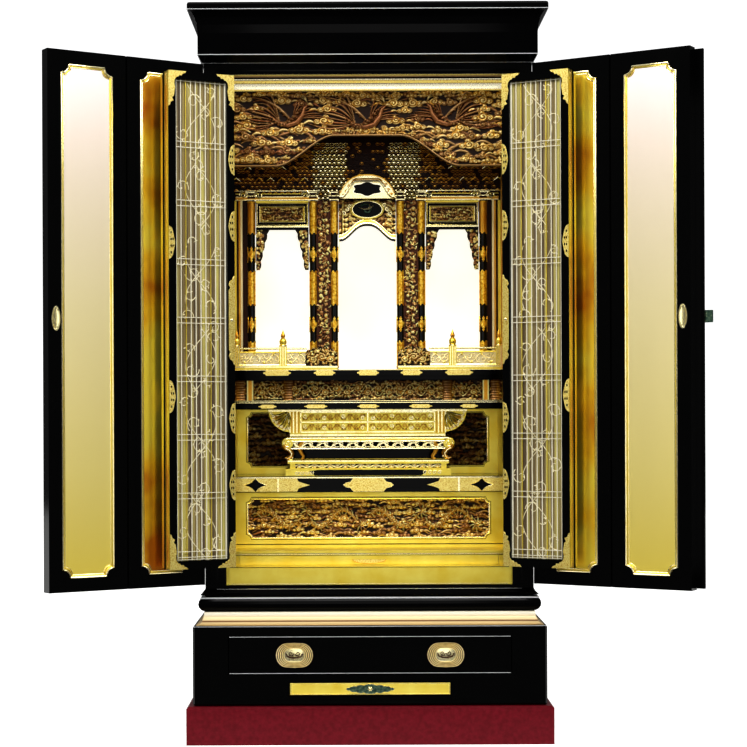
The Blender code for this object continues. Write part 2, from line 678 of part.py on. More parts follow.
def build_dais():
    front, fascia = deep(DEEP_LOW_BOARD), deep(DEEP_LOW_BOARD) + BASE_WALL
    rear = deep(DEEP_BACK_PANEL) + PANEL_THICKNESS + RELIEF_BACK + MM
    low, high = LOW_BOTTOM, LOW_TOP - FIT
    prism("dais_board_low", [
        (front, low), (deep(DEEP_LOWER_PANEL) + PANEL_THICKNESS, low),
        (deep(DEEP_LOWER_PANEL) + PANEL_THICKNESS, high - LOW_BOARD_TOP), (rear, high - LOW_BOARD_TOP),
        (rear, high), (front, high)], "x", -SPAN, SPAN, LACQUER)
    bottom, top = LOW_TOP, MID_BOTTOM - FIT
    windowed("dais_back_panel", DEEP_BACK_PANEL, bottom, top, BACK_WINDOW, GILT)
    side, low, high = BACK_WINDOW
    half = SPAN - side
    shapes = clouds(-half, half, bottom + low, top - high, 26 * MM, 8 * MM)
    window_relief("dais_relief", DEEP_BACK_PANEL, bottom, top, BACK_WINDOW, shapes, (40, 9), DARK_CARVING)

    wide = WAIST_WIDTH / 2
    tip = wide + WING_WIDTH
    wing = []
    for i in range(7):
        angle = math.pi / 2 * i / 6
        wing.append((wide + WING_WIDTH * math.sin(angle), top - WING_HEIGHT * math.cos(angle)))
    outline = ([(-wide, bottom), (wide, bottom)] + wing[:-1] + [(tip, top), (-tip, top)]
               + [(-x, z) for x, z in reversed(wing[:-1])])
    prism("dais_waist", outline, "y", deep(DEEP_WAIST), deep(DEEP_WAIST) + WAIST_THICKNESS, GILT)

    board("dais_board_mid", (-SPAN, deep(DEEP_MID_BOARD), MID_BOTTOM), (SPAN, rear, MID_TOP - FIT),
          LACQUER, bevel=MM)
    middle = (MID_TOP + FRIEZE_TOP) / 2
    shapes = clouds(-SPAN, SPAN, MID_TOP + 4 * MM, FRIEZE_TOP - 4 * MM, 19 * MM, 6 * MM)
    shapes += [dome(x, middle, 12 * MM, 30 * MM, 9 * MM)
               for x in (-0.29, -0.181, 0.181, 0.29)]
    carve("frieze_carving", SPAN, flat(MID_TOP), flat(FRIEZE_TOP - FIT), deep(DEEP_FRIEZE) + 18 * MM,
          8 * MM, shapes, (46, 4), CARVED)
    board_rear = deep(DEEP_SHRINE_BACK) + PANEL_THICKNESS
    front, neck = deep(DEEP_TOP_BOARD), deep(DEEP_TOP_BOARD) + 16 * MM
    lip = deep(DEEP_FRIEZE) + 20 * MM
    board_bottom = FRIEZE_TOP + TOP_MOULDING
    prism("dais_board_top", [
        (neck, FRIEZE_TOP), (lip, FRIEZE_TOP), (lip, board_bottom), (board_rear, board_bottom),
        (board_rear, DAIS_TOP - FIT), (front, DAIS_TOP - FIT), (front, board_bottom),
        (neck, board_bottom)], "x", -SPAN, SPAN, LACQUER)


def build_table():
    front = deep(DEEP_STAND)
    half = TABLE_WIDTH / 2 - STAND_INSET
    foot, band = LOW_TOP + STAND_FOOT, LOW_TOP + STAND_FOOT + STAND_BAND
    step = STAND_STEP
    rear = front + STAND_DEPTH
    loft("table_stand", [
        level(LOW_TOP, half, front, rear), level(foot, half, front, rear),
        level(foot, half - 2 * step, front + 2 * step, rear - 2 * step),
        level(band, half - 2 * step, front + 2 * step, rear - 2 * step),
        level(band, half - step, front + step, rear - step),
        level(STAND_UP - FIT, half - step, front + step, rear - step)], GILT)
    middle = (front + rear) / 2
    near, far = middle - TABLE_DEPTH / 2, middle + TABLE_DEPTH / 2
    top = STAND_UP + TABLE_HEIGHT
    wide = TABLE_WIDTH / 2
    scroll = [(wide - TABLE_ROLL + TABLE_ROLL * math.sin(a), top - TABLE_ROLL * (1 - math.cos(a)))
              for a in (math.pi * i / 6 for i in range(7))]
    under = top - TABLE_TOP
    outline = ([(-x, z) for x, z in reversed(scroll)] + scroll
               + [(wide - 2.2 * TABLE_ROLL, under), (-wide + 2.2 * TABLE_ROLL, under)])
    table = prism("offering_table", outline, "y", near, far, GILT)
    for side, word in SIDES:
        x = side * (wide - LEG_INSET)
        leg = [(x - side * LEG_WIDTH, under + MM), (x + side * 2 * MM, under + MM)]
        for i in range(1, 6):
            share = i / 5
            bend = side * 5 * MM * math.sin(math.pi * share)
            leg.append((x - bend + side * 4 * MM * share, under - (under - STAND_UP) * share))
        leg += [(px - side * (LEG_WIDTH * (1 - 0.25 * i)), pz) for i, (px, pz) in
                enumerate(reversed(leg[3::2]))]
        boolean(table, prism(f"leg_{word}", leg, "y", near + MM, far - MM, GILT), "UNION")
    lobes = 6
    edge = wide - LEG_INSET - 2 * MM
    scallop = [(-edge + 2 * edge * i / (4 * lobes),
                under - TABLE_APRON * (0.72 + 0.28 * abs(math.sin(math.pi * i / 4))))
               for i in range(4 * lobes + 1)]
    apron = [(edge, under + MM), (-edge, under + MM)] + scallop
    boolean(table, prism("apron", apron, "y", near + 2 * MM, near + 2 * MM + APRON_THICKNESS, GILT),
            "UNION")


def build_railings():
    """A low railing each side of the middle alcove, posts and finials in its outline."""
    bottom, top = DAIS_TOP, DAIS_TOP + RAILING_HEIGHT
    inner = PAIR_INNER_X - SLEEVE_RADIUS
    for side, word in SIDES:
        outline = [(SPAN - MM, bottom), (SPAN - MM, bottom + RAILING_LEDGE)]
        for x, half in ((SPAN - 8 * MM, 6.5 * MM), (RAILING_POST_X, RAILING_POST / 2)):
            tip = top + RAILING_FINIAL
            neck = top + 0.45 * RAILING_FINIAL
            outline += [(x + half, top), (x + half, neck), (x + 0.4 * half, neck + 3 * MM),
                        (x + 0.6 * half, tip - 9 * MM), (x, tip), (x - 0.6 * half, tip - 9 * MM),
                        (x - 0.4 * half, neck + 3 * MM), (x - half, neck), (x - half, top)]
        outline += [(PAIR_OUTER_X + 14 * MM, top), (PAIR_OUTER_X, top - 14 * MM),
                    (inner, top - 18 * MM), (inner, bottom)]
        outline = [(side * x, z) for x, z in outline]
        prism(f"railing_{word}", outline, "y", deep(DEEP_RAILING), deep(DEEP_RAILING) + RAILING_THICKNESS,
              GILT)


def sleeve_levels():
    """Height and radius down a pillar: gilt sleeves at the head, waist and foot."""
    top = DAIS_TOP + PILLAR_HEIGHT - FIT
    shares = ((0.0, 1), (0.15, 1), (0.16, 0), (0.36, 0), (0.37, 1), (0.56, 1), (0.57, 0), (0.81, 0),
              (0.82, 1), (1.0, 1))
    return [(DAIS_TOP + (top - DAIS_TOP) * share, SLEEVE_RADIUS if wide else PILLAR_RADIUS)
            for share, wide in shares]


def build_pillars():
    y = deep(DEEP_PILLARS)
    for side, word in SIDES:
        rings = [[(x, yy, z) for x, yy in disc(radius, 10, (side * OUTER_PILLAR_X, y))]
                 for z, radius in sleeve_levels()]
        loft(f"pillar_outer_{word}", rings, LACQUER, smooth=40)
        rings = []
        stations = sleeve_levels()
        dense = 20
        low, high = stations[0][0], stations[-1][0]
        for i in range(dense + 1):
            z = low + (high - low) * i / dense
            radius = SLEEVE_RADIUS if any(
                a[0] <= z <= b[0] and a[1] == b[1] == SLEEVE_RADIUS
                for a, b in zip(stations, stations[1:])) else PILLAR_RADIUS
            bulge = 5 * MM * (1 + 0.6 * math.sin(2.4 * i))
            rings.append([(side * x, yy, z) for x, yy in pair_section(radius, bulge, y)])
        loft(f"pillar_pair_{word}", rings, LACQUER, smooth=35)


def pair_section(radius, bulge, y):
    """Plan of two pillars with the carved strip between them."""
    sides = 7
    gap = math.radians(25)
    points = []
    for i in range(sides):
        angle = math.pi + gap + (math.tau - 2 * gap) * i / (sides - 1)
        points.append((PAIR_OUTER_X + radius * math.cos(angle), y + radius * math.sin(angle)))
    for i in range(sides):
        angle = gap + (math.tau - 2 * gap) * i / (sides - 1)
        points.append((PAIR_INNER_X + radius * math.cos(angle), y + radius * math.sin(angle)))
    width = PAIR_OUTER_X - PAIR_INNER_X
    for share in (0.35, 0.65):
        points.append((PAIR_INNER_X + width * share, y - bulge))
    return points


def build_shrine_front():
    """Transoms over the side alcoves, the arch and gable over the middle one."""
    top = PILLAR_TOP - FIT
    y = deep(DEEP_PILLARS)
    reach = SLEEVE_RADIUS + MM
    for side, word in SIDES:
        near, far = PAIR_OUTER_X + reach, OUTER_PILLAR_X - reach
        under = top - TRANSOM_HEIGHT
        left = [(near, top), (near, under - TRANSOM_BRACKET)]
        for i in range(6):
            share = i / 5
            left.append((near + 5 * MM + (BRACKET_WIDTH - 5 * MM) * share ** 1.5
                         + 2 * MM * math.sin(9 * share), under - TRANSOM_BRACKET * (1 - share)))
        outline = left + [(near + far - x, z) for x, z in reversed(left)]
        outline = [(side * x, z) for x, z in outline]
        prism(f"side_transom_{word}", outline, "y", y - TRANSOM_THICKNESS / 2,
              y + TRANSOM_THICKNESS / 2, CARVED)
    half = PAIR_INNER_X - reach
    arch = [(half, top - ARCH_LEGS), (half - 4 * MM, top - ARCH_LEGS)]
    for i in range(13):
        x = (half - 8 * MM) * math.cos(math.pi * i / 12)
        drop = ARCH_SPRING - ARCH_RISE
        arch.append((x, top - ARCH_RISE - drop * (abs(x) / half) ** 2.2))
    outline = arch + [(-half + 4 * MM, top - ARCH_LEGS), (-half, top - ARCH_LEGS), (-half, top), (half, top)]
    prism("centre_arch", outline, "y", y - ARCH_THICKNESS / 2, y + ARCH_THICKNESS / 2, GILT)
    outline = []
    for i in range(21):
        u = -1 + 2 * i / 20
        rise = (1 - abs(u) ** 2.5) ** 0.7
        outline.append((u * GABLE_WIDTH / 2, PILLAR_TOP + 12 * MM + (GABLE_HEIGHT - 12 * MM) * rise))
    outline += [(GABLE_WIDTH / 2, PILLAR_TOP), (-GABLE_WIDTH / 2, PILLAR_TOP)]
    prism("gable", outline, "y", deep(DEEP_GABLE), deep(DEEP_GABLE) + GABLE_THICKNESS, GILT)


def build_canopy():
    """Roof brackets that step forward as they rise, over the shrine's full depth."""
    rear = deep(DEEP_SHRINE_BACK) - FIT
    outline = [(rear, PILLAR_TOP)]
    for tier in range(CANOPY_TIERS):
        y = deep(DEEP_CANOPY) + (CANOPY_TIERS - 1 - tier) * TIER_STEP
        outline += [(y, PILLAR_TOP + tier * TIER_HEIGHT), (y, PILLAR_TOP + (tier + 1) * TIER_HEIGHT)]
    outline.append((rear, PILLAR_TOP + CANOPY_TIERS * TIER_HEIGHT))
    prism("canopy", outline, "x", -SPAN, SPAN, DARK_CARVING)
    board("shrine_backboard", (-SPAN, deep(DEEP_SHRINE_BACK), DAIS_TOP),
          (SPAN, deep(DEEP_SHRINE_BACK) + PANEL_THICKNESS, CEILING - FIT), PALE)


def build_ranma():
    """The carved transom under its gilt lintel: flying birds among clouds over a low arch."""
    board("ranma_lintel", (-SPAN, deep(DEEP_LINTEL), LINTEL_BOTTOM),
          (SPAN, deep(DEEP_LINTEL) + LINTEL_THICKNESS, CEILING - FIT), GILT, bevel=2 * MM)
    top = LINTEL_BOTTOM - FIT
    low = LINTEL_BOTTOM - RANMA_HEIGHT

    def arch(x):
        run = SPAN - RANMA_FLAT - RANMA_CROWN
        share = max(0.0, min(1.0, (SPAN - RANMA_FLAT - abs(x)) / run))
        return low + RANMA_ARCH * share * share * (3 - 2 * share)

    shapes = clouds(-SPAN, SPAN, low + 4 * MM, top, 30 * MM, 6 * MM)
    middle = top - 52 * MM
    for x0, length, swing in ((-0.275, 0.14, -0.014), (-0.08, 0.15, -0.015), (0.135, 0.145, -0.014)):
        shapes.append(ridge(wave_path(x0, middle, length, swing, 0.9), 17 * MM, RANMA_RELIEF))
    back = deep(DEEP_LINTEL) + LINTEL_THICKNESS
    carve("ranma", SPAN, arch, flat(top), back, LINTEL_THICKNESS - RANMA_RELIEF - MM, shapes,
          (58, 14), CARVED, most=RANMA_RELIEF)


# Doors and drawer

def hinge_empty(name, at, turn, parent=None):
    """An empty on a hinge axis, turned about Z."""
    made = bpy.data.objects.new(name, None)
    bpy.context.scene.collection.objects.link(made)
    made.parent = parent
    made.location = at
    made.rotation_euler = (0, 0, math.radians(turn))
    return made


def leaf_box(name, side, along, thick, bottom, top, mat, parent, bevel=0.0):
    """A board in a leaf's own frame: along runs from the hinge, thick runs back."""
    xs = sorted((-side * along[0], -side * along[1]))
    return board(name, (xs[0], thick[0], bottom), (xs[1], thick[1], top), mat, bevel, parent)


def cut_field(leaf, side, along, face, bottom, top, parent):
    """Recesses the gilt field, with notched corners, into a leaf's inner face."""
    middle_x = -side * (along[0] + along[1]) / 2
    half = (along[1] - along[0]) / 2 - FIELD_SIDE
    outline = notched(half, (top - bottom) / 2 - FIELD_END, FIELD_NOTCH, (middle_x, (top + bottom) / 2))
    tool = prism(f"cutter_{leaf.name}", outline, "y", face - FIELD_DEPTH, face + 5 * MM, WOOD, parent=parent)
    boolean(leaf, tool, "DIFFERENCE")


def build_outer_doors():
    bottom, top = OPEN_BOTTOM + LEAF_MARGIN, OPEN_TOP + LEAF_OVERLAP_TOP
    pin_x = BODY_HALF + OUTER_PIN_OUT
    seam = (pin_x + CENTRE_GAP) / 2
    for side, word in SIDES:
        pin = hinge_empty(f"hinge_outer_{word}", (side * pin_x, deep(-OUTER_PIN_FRONT), 0),
                          side * OUTER_OPEN)
        along = (OUTER_ROD - MM, seam - SEAM_GAP)
        leaf = leaf_box(f"outer_leaf_{word}_hinged", side, along, (-LEAF_THICKNESS, 0), bottom, top,
                        LACQUER, pin)
        cut_field(leaf, side, along, 0, bottom, top, pin)
        join_rod(leaf, OUTER_ROD, bottom, top, pin, f"rod_outer_{word}")
        fold = hinge_empty(f"hinge_seam_{word}", (-side * seam, -LEAF_THICKNESS, 0), 0, pin)
        along = (0.5 * MM, pin_x - CENTRE_GAP - seam)
        leaf = leaf_box(f"outer_leaf_{word}_free", side, along, (0, LEAF_THICKNESS), bottom, top,
                        LACQUER, fold)
        cut_field(leaf, side, along, LEAF_THICKNESS, bottom, top, fold)
        join_rod(leaf, SEAM_ROD, bottom, top, fold, f"rod_seam_{word}")
        if side > 0:
            edge = along[1]
            leaf_box("meeting_strip", side, (edge + STRIP_REACH - STRIP_WIDTH, edge + STRIP_REACH),
                     (-STRIP_THICKNESS - FIT, -FIT), bottom + 3 * MM, top - 3 * MM, LACQUER, fold, MM)
            end = edge + STRIP_REACH + LATCH_REACH
            face = -STRIP_THICKNESS - 2 * FIT
            leaf_box("door_latch", side, (end - LATCH_LENGTH, end), (face - LATCH_THICKNESS, face),
                     bottom + LATCH_RISE, bottom + LATCH_RISE + LATCH_HEIGHT, BRONZE, fold, MM)


def screen_frame(name, side, along, thick, bottom, top, parent):
    """A black frame with an open middle, in a leaf's own frame."""
    def ring(y, inset):
        low, high = along[0] + inset, along[1] - inset
        return [(-side * x, y, z) for x, z in
                ((low, bottom + inset), (high, bottom + inset), (high, top - inset), (low, top - inset))]
    outer = [ring(thick[0], 0), ring(thick[1], 0)]
    inner = [ring(thick[0], STILE), ring(thick[1], STILE)]
    return tube(name, outer, inner, LACQUER, parent=parent)


def build_screens():
    bottom, top = OPEN_BOTTOM + SCREEN_BOTTOM, OPEN_TOP - SCREEN_TOP
    pin_x = OPEN_HALF - INNER_PIN_IN
    near, far = INNER_FACE, INNER_FACE + SCREEN_THICKNESS
    sheet = ((near + far - SCREEN_SHEET) / 2, (near + far + SCREEN_SHEET) / 2)
    hem = STILE + FIT
    for side, word in SIDES:
        pin = hinge_empty(f"hinge_inner_{word}", (side * pin_x, deep(-INNER_PIN_FRONT), 0),
                          side * INNER_OPEN)
        along = (1.5 * MM, FOLD_PIN - SEAM_GAP)
        frame = screen_frame(f"screen_frame_{word}_hinged", side, along, (near, far), bottom, top, pin)
        join_rod(frame, INNER_ROD, bottom, top, pin, f"rod_inner_{word}")
        leaf_box(f"screen_{word}_hinged", side, (along[0] + hem, along[1] - hem), sheet,
                 bottom + hem, top - hem, SILK, pin)
        lift = far + FOLD_OFFSET
        fold = hinge_empty(f"hinge_fold_{word}", (-side * FOLD_PIN, lift, 0), -side * 180.0, pin)
        along = (0.5 * MM, pin_x - CENTRE_GAP - FOLD_PIN)
        frame = screen_frame(f"screen_frame_{word}_free", side, along, (near - lift, far - lift),
                             bottom, top, fold)
        join_rod(frame, FOLD_ROD, bottom, top, fold, f"rod_fold_{word}")
        leaf_box(f"screen_{word}_free", side, (along[0] + hem, along[1] - hem),
                 (sheet[0] - lift, sheet[1] - lift), bottom + hem, top - hem, SILK, fold)


DRAWER_BOTTOM = BASE_TOP - BASE_TOP_BOARD - DRAWER_CLEARANCE - DRAWER_HEIGHT


def build_drawer():
    half = DRAWER_WIDTH / 2
    front, bottom, top = BASE_FRONT, DRAWER_BOTTOM, DRAWER_BOTTOM + DRAWER_HEIGHT
    drawer = board("drawer", (-half, front, bottom), (half, front + DRAWER_FRONT, top), LACQUER)
    low, high = bottom + MM, top - 8 * MM
    inner = half - DRAWER_WALL / 2
    rear = front + DRAWER_DEPTH
    body = board("drawer_body", (-inner, front + DRAWER_FRONT / 2, low), (inner, rear, high), WOOD)
    boolean(drawer, body, "UNION")
    cut_box(drawer, (-inner + DRAWER_WALL, front + DRAWER_FRONT, low + DRAWER_FLOOR),
            (inner - DRAWER_WALL, rear - DRAWER_WALL, top + MM))
    centre = (bottom + top) / 2
    for side, word in SIDES:
        def oval(share, lift):
            rx, rz = PULL_WIDTH / 2 * share, PULL_HEIGHT / 2 * share
            flatness = PULL_WIDTH / 2 - PULL_HEIGHT / 2
            return [(side * PULL_SPACING / 2 + math.copysign(flatness * share, math.cos(a))
                     + (rx - flatness * share) * math.cos(a),
                     front - FIT - lift, centre + rz * math.sin(a))
                    for a in (math.tau * (i + 0.5) / 20 for i in range(20))]
        loft(f"drawer_pull_{word}", [
            oval(1.0, 0), oval(1.0, 0.4 * PULL_THICKNESS), oval(0.9, PULL_THICKNESS),
            oval(0.66, PULL_THICKNESS), oval(0.6, 0.45 * PULL_THICKNESS), oval(0.4, 0.7 * PULL_THICKNESS),
        ], GILT, smooth=40)


def main():
    for old in list(bpy.data.objects):
        bpy.data.objects.remove(old)
    build_plinth()
    build_base()
    build_case()
    build_cornice()
    build_steps()
    build_lower_panel()
    build_dais()
    build_table()
    build_railings()
    build_pillars()
    build_shrine_front()
    build_canopy()
    build_ranma()
    build_outer_doors()
    build_screens()
    build_drawer()


main()
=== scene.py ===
"""Looks of a Buddhist altar cabinet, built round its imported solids.

Lengths are in millimetres until a mesh is made. X runs to the right, -Y to the viewer, Z up. A door
leaf's own frame has its hinge at x = 0 and its thickness along Y.
"""
import math

import bpy
import numpy as np
from mathutils import Matrix, Vector


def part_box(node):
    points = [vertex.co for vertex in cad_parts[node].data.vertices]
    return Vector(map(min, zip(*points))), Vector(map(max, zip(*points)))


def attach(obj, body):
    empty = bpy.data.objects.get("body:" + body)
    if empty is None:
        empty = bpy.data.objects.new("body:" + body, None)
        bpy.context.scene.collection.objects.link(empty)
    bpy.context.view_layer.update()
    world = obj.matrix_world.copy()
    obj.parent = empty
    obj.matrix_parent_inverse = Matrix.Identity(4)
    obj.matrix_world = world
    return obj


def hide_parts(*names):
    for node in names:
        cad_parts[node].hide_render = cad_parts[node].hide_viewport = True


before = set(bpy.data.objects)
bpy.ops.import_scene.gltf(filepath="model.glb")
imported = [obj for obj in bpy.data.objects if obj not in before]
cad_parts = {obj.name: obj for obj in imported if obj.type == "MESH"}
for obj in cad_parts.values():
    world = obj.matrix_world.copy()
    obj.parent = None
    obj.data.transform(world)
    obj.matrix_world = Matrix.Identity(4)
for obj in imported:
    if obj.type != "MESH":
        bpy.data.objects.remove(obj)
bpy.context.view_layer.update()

MM = 0.001
SIDES = ((-1, "left"), (1, "right"))
FRONT = -242.0               # front of the case
CABINET = "cabinet"


def node_box(name):
    """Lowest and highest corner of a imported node, in millimetres."""
    low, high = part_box(name)
    return low / MM, high / MM


def deep(distance):
    """Y of a plane this far behind the case's front."""
    return FRONT + distance


# Materials

def new_material(name, colour, roughness, metallic=0.0, **values):
    """A Principled material, its node tree and its shader."""
    made = bpy.data.materials.new(name)
    made.use_nodes = True
    shader = made.node_tree.nodes["Principled BSDF"]
    shader.inputs["Base Color"].default_value = (*colour, 1.0)
    shader.inputs["Roughness"].default_value = roughness
    shader.inputs["Metallic"].default_value = metallic
    for key, value in values.items():
        shader.inputs[key.replace("_", " ")].default_value = value
    return made, made.node_tree, shader


def add_node(tree, kind, **values):
    made = tree.nodes.new(kind)
    for key, value in values.items():
        if key in made.inputs:
            made.inputs[key].default_value = value
        else:
            setattr(made, key, value)
    return made


def place_texture(tree, texture, scale=(1.0, 1.0, 1.0)):
    """Object coordinates, stretched, into a texture."""
    where = add_node(tree, "ShaderNodeTexCoord")
    mapping = add_node(tree, "ShaderNodeMapping")
    mapping.inputs["Scale"].default_value = scale
    tree.links.new(where.outputs["Object"], mapping.inputs["Vector"])
    tree.links.new(mapping.outputs["Vector"], texture.inputs["Vector"])
    return texture


def noise(tree, scale, detail=3.0, stretch=(1.0, 1.0, 1.0)):
    return place_texture(tree, add_node(tree, "ShaderNodeTexNoise", Scale=scale, Detail=detail), stretch)


def ramp(tree, source, stops):
    """Colours at positions along a texture's value."""
    made = add_node(tree, "ShaderNodeValToRGB")
    elements = made.color_ramp.elements
    while len(elements) < len(stops):
        elements.new(0.5)
    for element, (position, colour) in zip(elements, stops):
        element.position = position
        element.color = (*colour, 1.0)
    tree.links.new(source, made.inputs["Fac"])
    return made.outputs["Color"]


def spread(tree, source, low, high):
    """A texture's value stretched between two numbers."""
    made = add_node(tree, "ShaderNodeMapRange")
    made.inputs["From Min"].default_value = 0.3
    made.inputs["From Max"].default_value = 0.7
    made.inputs["To Min"].default_value = low
    made.inputs["To Max"].default_value = high
    tree.links.new(source, made.inputs["Value"])
    return made.outputs["Result"]


def bump(tree, shader, source, strength, distance=0.001):
    made = add_node(tree, "ShaderNodeBump", Strength=strength, Distance=distance)
    tree.links.new(source, made.inputs["Height"])
    tree.links.new(made.outputs["Normal"], shader.inputs["Normal"])


def tint(tree, shader, source, stops):
    """Colours along a texture's value, as the base colour."""
    tree.links.new(ramp(tree, source, stops), shader.inputs["Base Color"])


def dull(tree, shader, source, low, high):
    """A texture's value as the roughness, between two numbers."""
    tree.links.new(spread(tree, source, low, high), shader.inputs["Roughness"])


def lacquer_material(name, colour, low, high, gloss=0.22):
    """Polished lacquer: a deep colour with the faint waviness of rubbed coats."""
    made, tree, shader = new_material(name, colour, low, Specular_IOR_Level=gloss)
    waves = noise(tree, 9.0, 2.0).outputs["Fac"]
    dull(tree, shader, waves, low, high)
    bump(tree, shader, waves, 0.05, 0.002)
    return made


def leaf_material(name, dark, light, roughness, metallic=0.92, grain=0.06, glow=0.0):
    """Gold leaf: small changes of tone where leaves overlap, over brushed ground; glow paints a highlight
    into it as light of its own.
    """
    made, tree, shader = new_material(name, light, roughness, metallic, Emission_Strength=glow)
    shader.inputs["Emission Color"].default_value = (*light, 1.0)
    tint(tree, shader, noise(tree, 22.0, 4.0).outputs["Fac"], ((0.3, dark), (0.72, light)))
    fine = noise(tree, 260.0, 2.0).outputs["Fac"]
    dull(tree, shader, fine, roughness - 0.05, roughness + 0.05)
    bump(tree, shader, fine, grain, 0.0004)
    return made


def fitting_material(name, light, middle, dark, scale=430.0):
    """Gilt copper fittings with a finely punched ground."""
    made, tree, shader = new_material(name, middle, 0.3, 0.9)
    cells = place_texture(tree, add_node(tree, "ShaderNodeTexVoronoi", Scale=scale)).outputs["Distance"]
    tint(tree, shader, cells, ((0.0, light), (0.5, middle), (0.8, dark)))
    bump(tree, shader, cells, 0.14, 0.0005)
    return made


def graded_material(name, low, high, stops, metallic, rough):
    """Leaf whose colour changes with the height above the floor, in metres from low to high: light and shade
    painted into it.
    """
    made, tree, shader = new_material(name, stops[-1][1], rough, metallic)
    where = add_node(tree, "ShaderNodeTexCoord")
    split = add_node(tree, "ShaderNodeSeparateXYZ")
    tree.links.new(where.outputs["Object"], split.inputs["Vector"])
    height = add_node(tree, "ShaderNodeMapRange")
    height.inputs["From Min"].default_value = low
    height.inputs["From Max"].default_value = high
    tree.links.new(split.outputs["Z"], height.inputs["Value"])
    tint(tree, shader, height.outputs["Result"], stops)
    dull(tree, shader, noise(tree, 260.0, 2.0).outputs["Fac"], rough - 0.04, rough + 0.04)
    return made


def mottled_material(name, colour, rough, metallic, texture, stops, relief=None):
    """A tone that changes over a noise, with relief from the same noise."""
    made, tree, shader = new_material(name, colour, rough, metallic)
    source = noise(tree, *texture).outputs["Fac"]
    tint(tree, shader, source, stops)
    if relief:
        bump(tree, shader, source, *relief)
    return made


def carved_material():
    """Carving, with its tint and gilding laid on point by point, and painted shade in its hollows and painted
    highlight on its crests.
    """
    made, tree, shader = new_material("carved_gilding", (0.5, 0.3, 0.1), 0.34, 0.65)
    laid = add_node(tree, "ShaderNodeVertexColor", layer_name="Tint")
    grain = noise(tree, 420.0, 3.0).outputs["Fac"]
    mixed = add_node(tree, "ShaderNodeMix", data_type="RGBA", blend_type="MULTIPLY")
    mixed.inputs["Factor"].default_value = 0.45
    tree.links.new(laid.outputs["Color"], mixed.inputs[6])
    tree.links.new(ramp(tree, grain, ((0.3, (0.6, 0.5, 0.42)), (0.6, (1.0, 1.0, 1.0)))), mixed.inputs[7])
    tree.links.new(mixed.outputs[2], shader.inputs["Base Color"])
    dull(tree, shader, grain, 0.3, 0.5)
    bump(tree, shader, grain, 0.2, 0.0006)
    return made


def silk_material():
    """Gauze: brown-gold warp stripes with a fine weave."""
    made, tree, shader = new_material("screen_silk", (0.2, 0.15, 0.07), 0.5, 0.2)
    tint(tree, shader, noise(tree, 110.0, 2.0, (1.0, 1.0, 0.01)).outputs["Fac"],
         ((0.36, (0.09, 0.06, 0.03)), (0.5, (0.26, 0.2, 0.075)), (0.62, (0.52, 0.46, 0.13))))
    weave = add_node(tree, "ShaderNodeTexWave", Scale=420.0, Distortion=0.4, bands_direction="Z")
    bump(tree, shader, place_texture(tree, weave).outputs["Fac"], 0.3, 0.0005)
    return made


def red_material():
    """Wine-red covering with a mottled, leathery face."""
    made, tree, shader = new_material("plinth_red", (0.1, 0.004, 0.01), 0.3, Specular_IOR_Level=0.12)
    tint(tree, shader, noise(tree, 120.0, 5.0).outputs["Fac"],
         ((0.32, (0.09, 0.002, 0.006)), (0.68, (0.13, 0.004, 0.011))))
    bump(tree, shader, noise(tree, 600.0, 3.0).outputs["Fac"], 0.25, 0.0006)
    return made


def pale_material():
    """The bright paper panels behind the shrine, which glow with light of their own: painted light in place
    of the light falling on them.
    """
    made, tree, shader = new_material("pale_panel", (0.95, 0.93, 0.84), 0.7, Specular_IOR_Level=0.2)
    colours = ramp(tree, noise(tree, 5.0, 2.0).outputs["Fac"],
                   ((0.3, (0.93, 0.9, 0.76)), (0.7, (1.0, 0.99, 0.93))))
    tree.links.new(colours, shader.inputs["Base Color"])
    # Painted light: the panels give off their own colour as light.
    tree.links.new(colours, shader.inputs["Emission Color"])
    shader.inputs["Emission Strength"].default_value = 0.84
    return made


LACQUER = lacquer_material("black_lacquer", (0.0009, 0.001, 0.001), 0.05, 0.1)
INNER_LACQUER = lacquer_material("inner_lacquer", (0.0012, 0.0012, 0.0014), 0.08, 0.14, 0.06)
# Pale, shiny arris: a painted highlight laid on the rounded edges of the black lacquer and on the edge lines.
EDGE_HIGHLIGHT = new_material("edge_highlight", (0.8, 0.82, 0.85), 0.3, 0.6)[0]
LEAF = leaf_material("gold_leaf", (0.88, 0.66, 0.075), (0.99, 0.84, 0.17), 0.33)
# The free leaves' fields, painted paler towards the top: a painted reflection of the lights above.
FIELD = graded_material("door_field", 0.35, 1.4, (
    (0.0, (1.0, 0.8, 0.13)), (0.22, (1.0, 0.85, 0.3)), (0.55, (1.0, 0.88, 0.5)), (1.0, (1.0, 0.87, 0.85))),
    0.8, 0.36)
# The base moulding, painted by height: near white towards the top, a painted highlight, and a dark brown band
# low down, painted shade.
MOULDING = graded_material("moulding_gilt", 0.253, 0.28, (
    (0.0, (0.6, 0.42, 0.18)), (0.2, (0.72, 0.54, 0.27)), (0.26, (0.16, 0.07, 0.025)), (0.32,
                                                                                       (0.2, 0.09, 0.03)),
    (0.38, (0.7, 0.54, 0.28)), (0.65, (0.9, 0.77, 0.48)), (0.85, (1.0, 0.95, 0.78)), (1.0,
                                                                                      (1.0, 0.94, 0.72))),
    0.4, 0.4)
